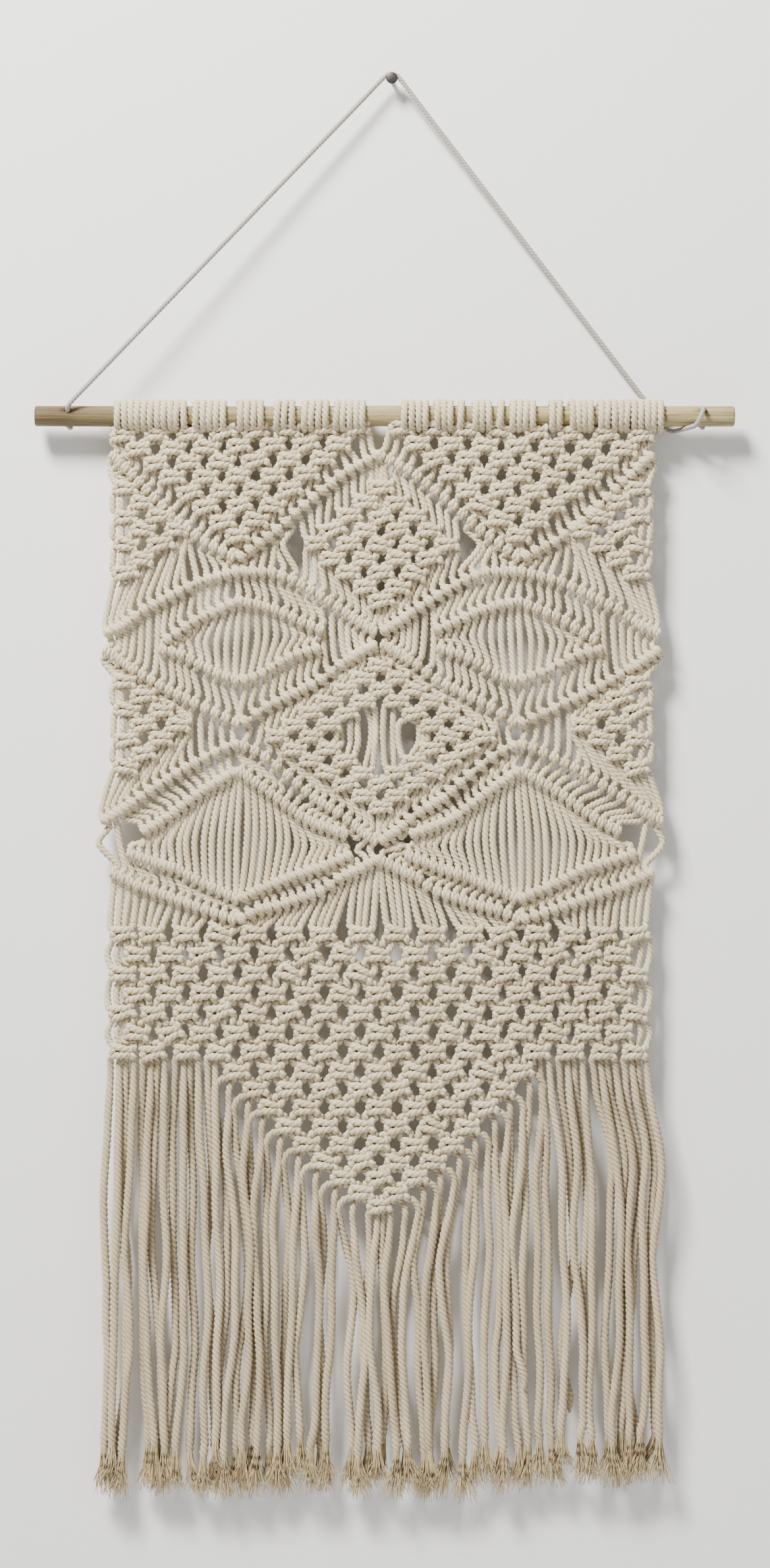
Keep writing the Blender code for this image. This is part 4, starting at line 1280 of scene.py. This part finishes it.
cord_piece, cord_path, cord_length = hanger_cord()
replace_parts(cord_piece, "hanger_cord")
print("hanger cord:", round(cord_length, 3), "m")

# %% [markdown]
# ### Stopper knots
#
# An overhand knot is a trefoil with open ends, and a trefoil is three waves, one for each
# direction. Almost all of its round is used, and the missing bit is where the two ends part.

# %% Stopper knots
# Points of a knot, the share of its round that is used, its size across, its depth and its cord
KNOT_POINTS = 36
KNOT_SHARE = 0.97
KNOT_SIZE = 0.66
KNOT_DEPTH = 0.95
KNOT_CORD = 1.2


def stopper_knot(side, x):
    """A small overhand knot, drawn up tight against the back of the dowel."""
    out = np.array([0.0, -math.cos(HOLE_RISE), math.sin(HOLE_RISE)])
    up = np.array([0.0, math.sin(HOLE_RISE), math.cos(HOLE_RISE)])
    middle = np.array([x, PLANE_Y, -DOWEL_DROP]) - out * (DOWEL_RADIUS + 2.6)
    spots = []
    for index in range(KNOT_POINTS + 1):
        t = 2 * math.pi * index / KNOT_POINTS * KNOT_SHARE
        a = (math.sin(t) + 2 * math.sin(2 * t)) * KNOT_SIZE
        b = (math.cos(t) - 2 * math.cos(2 * t)) * KNOT_SIZE
        c = -math.sin(3 * t) * KNOT_DEPTH
        spots.append((*(middle + np.array([1.0, 0.0, 0.0]) * a + up * b - out * c), 1.0))
    smooth = smooth_path(spots, 0.8)
    bundle = Bundle()
    bundle.add(smooth[:, :3], smooth[:, 3] * KNOT_CORD, lay=HANGER_LAY)
    piece = bundle.build("stopper_twist_" + side, hanger_cotton, "hanger_cotton")
    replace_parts(piece, "stopper_knot_" + side)
    return piece


stoppers = [stopper_knot("left", HOLES_X[0]), stopper_knot("right", HOLES_X[1])]
print("pieces that go with the cord:", [piece.name for piece in stoppers])

# %% [markdown]
# ## Dowel
#
# The dowel is plain ramin or pine, rubbed with oil: a pale tan with fine dark lines along the
# grain, and darker towards its left end. Noise that is stretched far along the wood gives the
# lines, and broader noise the clouds between them.

# %% Oiled wood
def wood_look():
    look = bpy.data.materials.new("oiled wood")
    look.use_nodes = True
    nodes, links, make, maths = node_maker(look)
    shader = nodes["Principled BSDF"]
    place = make("ShaderNodeTexCoord").outputs["Object"]
    drawn = make("ShaderNodeMapping", {"Vector": place, "Scale": (14.0, 520.0, 520.0)}).outputs[0]
    lines = make("ShaderNodeTexNoise", {"Vector": drawn, "Scale": 1.6, "Detail": 5.0,
                                        "Roughness": 0.65, "Distortion": 0.3}).outputs["Fac"]
    broad = make("ShaderNodeMapping", {"Vector": place, "Scale": (9.0, 60.0, 60.0)}).outputs[0]
    clouds = make("ShaderNodeTexNoise", {"Vector": broad, "Scale": 1.2, "Detail": 2.0}).outputs["Fac"]
    grain = make("ShaderNodeMapRange", {"Value": lines, "From Min": 0.36, "From Max": 0.62}).outputs[0]
    pale = mixed_colour(make, clouds, (0.50, 0.41, 0.19, 1.0), (0.38, 0.32, 0.165, 1.0))
    colour = mixed_colour(make, grain, (0.20, 0.150, 0.062, 1.0), pale)
    split = make("ShaderNodeSeparateXYZ", {"Vector": place})
    left_end = make("ShaderNodeMapRange", {"Value": split.outputs["X"], "From Min": -0.2,
                                           "From Max": -0.05, "To Min": 1.0, "To Max": 0.05}).outputs[0]
    patchy = maths("ADD", maths("MULTIPLY", clouds, 0.5), 0.55)
    tanned = mixed_colour(make, grain, (0.038, 0.020, 0.006, 1.0), (0.112, 0.066, 0.020, 1.0))
    aged = mixed_colour(make, maths("MULTIPLY", left_end, patchy), colour, tanned)
    links.new(aged, shader.inputs["Base Color"])
    raised = make("ShaderNodeBump", {"Height": lines, "Strength": 0.35, "Distance": 0.0006})
    links.new(raised.outputs["Normal"], shader.inputs["Normal"])
    rough = make("ShaderNodeMapRange", {"Value": lines, "To Min": 0.6, "To Max": 0.85}).outputs[0]
    links.new(rough, shader.inputs["Roughness"])
    return look


wood = wood_look()
print("wood:", len(wood.node_tree.nodes), "nodes")

# %% [markdown]
# ### A lathe
#
# Dowel and nail are round, so each is turned from a profile rather than taken as a ready cylinder.
# A real dowel has broken rims and is not quite straight or round, which a little wobble gives.

# %% Lathe
DOWEL_SIDES = 64


def lathe(name, profile, sides, centre, axis, look, slot, wobble=0.0):
    """A body of revolution through (radius, distance along the axis) points, in millimetres."""
    axis = Vector(axis).normalized()
    across = axis.orthogonal().normalized()
    up = axis.cross(across)
    verts, faces = [], []
    for radius, along in profile:
        drift = Vector((0.0, wobble * math.sin(along / 61.0), wobble * math.sin(along / 47.0 + 1.0)))
        for side in range(sides):
            turn = 2 * math.pi * side / sides
            out = across * math.cos(turn) + up * math.sin(turn)
            swell = 1.0 + wobble * 0.06 * math.sin(along / 23.0 + 2 * turn)
            spot = Vector(centre) + axis * along + out * radius * swell + drift
            verts.append(spot * MM)
    for ring in range(len(profile) - 1):
        for side in range(sides):
            beyond = (side + 1) % sides
            a, b = ring * sides, (ring + 1) * sides
            faces.append((a + side, a + beyond, b + beyond, b + side))
    faces.append(tuple(range(sides))[::-1])
    faces.append(tuple(range((len(profile) - 1) * sides, len(profile) * sides)))
    mesh = bpy.data.meshes.new(name)
    mesh.from_pydata(verts, [], faces)
    mesh.polygons.foreach_set("use_smooth", np.ones(len(faces), bool))
    mesh.set_sharp_from_angle(angle=math.radians(50.0))
    mesh.materials.append(look)
    piece = bpy.data.objects.new(name, mesh)
    scene.collection.objects.link(piece)
    if slot:
        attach(piece, "root")
    return piece


flat = DOWEL_RADIUS * (1 - math.cos(math.pi / DOWEL_SIDES))
print("a side of the dowel cuts inside its round by", round(flat, 3), "mm")

# %% [markdown]
# ### Turning and drilling
#
# The two holes are drilled right through, as on the real one, with the Boolean modifier. Their
# walls are painted nearly black: painted shade for the dark that a narrow bore shows from outside.

# %% Dowel
def dowel():
    left, right = DOWEL_ENDS
    rim = ((1.1, 0.0), (0.35, 0.35), (0.0, 1.2))
    profile = [(DOWEL_RADIUS - inwards, left + along) for inwards, along in rim]
    profile += [(DOWEL_RADIUS, x) for x in np.arange(left + 8.0, right - 4.0, 6.0)]
    profile += [(DOWEL_RADIUS - inwards, right - along) for inwards, along in reversed(rim)]
    centre = (0.0, PLANE_Y, -DOWEL_DROP)
    piece = lathe("dowel_wood", profile, DOWEL_SIDES, centre, (1, 0, 0), wood, "dowel_wood", wobble=0.15)
    # Painted shade: the bore walls are coloured nearly black for the shade inside a narrow hole.
    dark = bpy.data.materials.new("painted shade inside a hole")
    dark.use_nodes = True
    dark.node_tree.nodes["Principled BSDF"].inputs["Base Color"].default_value = (0.03, 0.02, 0.012, 1.0)
    piece.data.materials.append(dark)
    reach = DOWEL_RADIUS + 3.0
    bore = [(HOLE_RADIUS, -reach), (HOLE_RADIUS, reach)]
    for x in HOLES_X:
        drill = lathe("drill", bore, 32, (x, PLANE_Y, -DOWEL_DROP), HOLE_OUT, dark, None)
        cut = piece.modifiers.new("hole", "BOOLEAN")
        cut.operation, cut.object, cut.solver = "DIFFERENCE", drill, "EXACT"
        cut.material_mode = "TRANSFER"
        graph = bpy.context.evaluated_depsgraph_get()
        drilled = bpy.data.meshes.new_from_object(piece.evaluated_get(graph))
        piece.modifiers.clear()
        piece.data = drilled
        bpy.data.objects.remove(drill)
    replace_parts(piece, "dowel")
    return piece


print("dowel:", len(dowel().data.polygons), "faces")

# %% [markdown]
# ## Nail
#
# The nail has a low domed head that keeps the cord on it. Its dark steel is speckled and half dull.

# %% Nail
NAIL_HEAD = 3.5
DOME_START = 11.6
DOME_HEIGHT = 0.8


def nail():
    look = bpy.data.materials.new("dark steel")
    look.use_nodes = True
    nodes, links, make, maths = node_maker(look)
    shader = nodes["Principled BSDF"]
    place = make("ShaderNodeTexCoord").outputs["Object"]
    specks = make("ShaderNodeTexNoise", {"Vector": place, "Scale": 900.0, "Detail": 4.0}).outputs["Fac"]
    colour = mixed_colour(make, specks, (0.035, 0.03, 0.028, 1.0), (0.11, 0.095, 0.085, 1.0))
    links.new(colour, shader.inputs["Base Color"])
    shader.inputs["Metallic"].default_value = 0.85
    rough = make("ShaderNodeMapRange", {"Value": specks, "To Min": 0.35, "To Max": 0.65}).outputs[0]
    links.new(rough, shader.inputs["Roughness"])
    profile = [
        (1.25, 0.0), (1.25, 10.2), (1.6, 10.9), (3.3, 11.0), (NAIL_HEAD, 11.25), (NAIL_HEAD, DOME_START),
    ]
    for step in range(1, 7):
        turn = math.radians(15 * step)
        radius = NAIL_HEAD * math.cos(turn) if step < 6 else 0.4
        profile.append((radius, DOME_START + DOME_HEIGHT * math.sin(turn)))
    piece = lathe("nail_steel", profile, 40, (0.0, 0.0, 0.0), (0, -1, 0), look, "nail_steel")
    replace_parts(piece, "nail")
    return piece


print("nail:", len(nail().data.polygons), "faces")
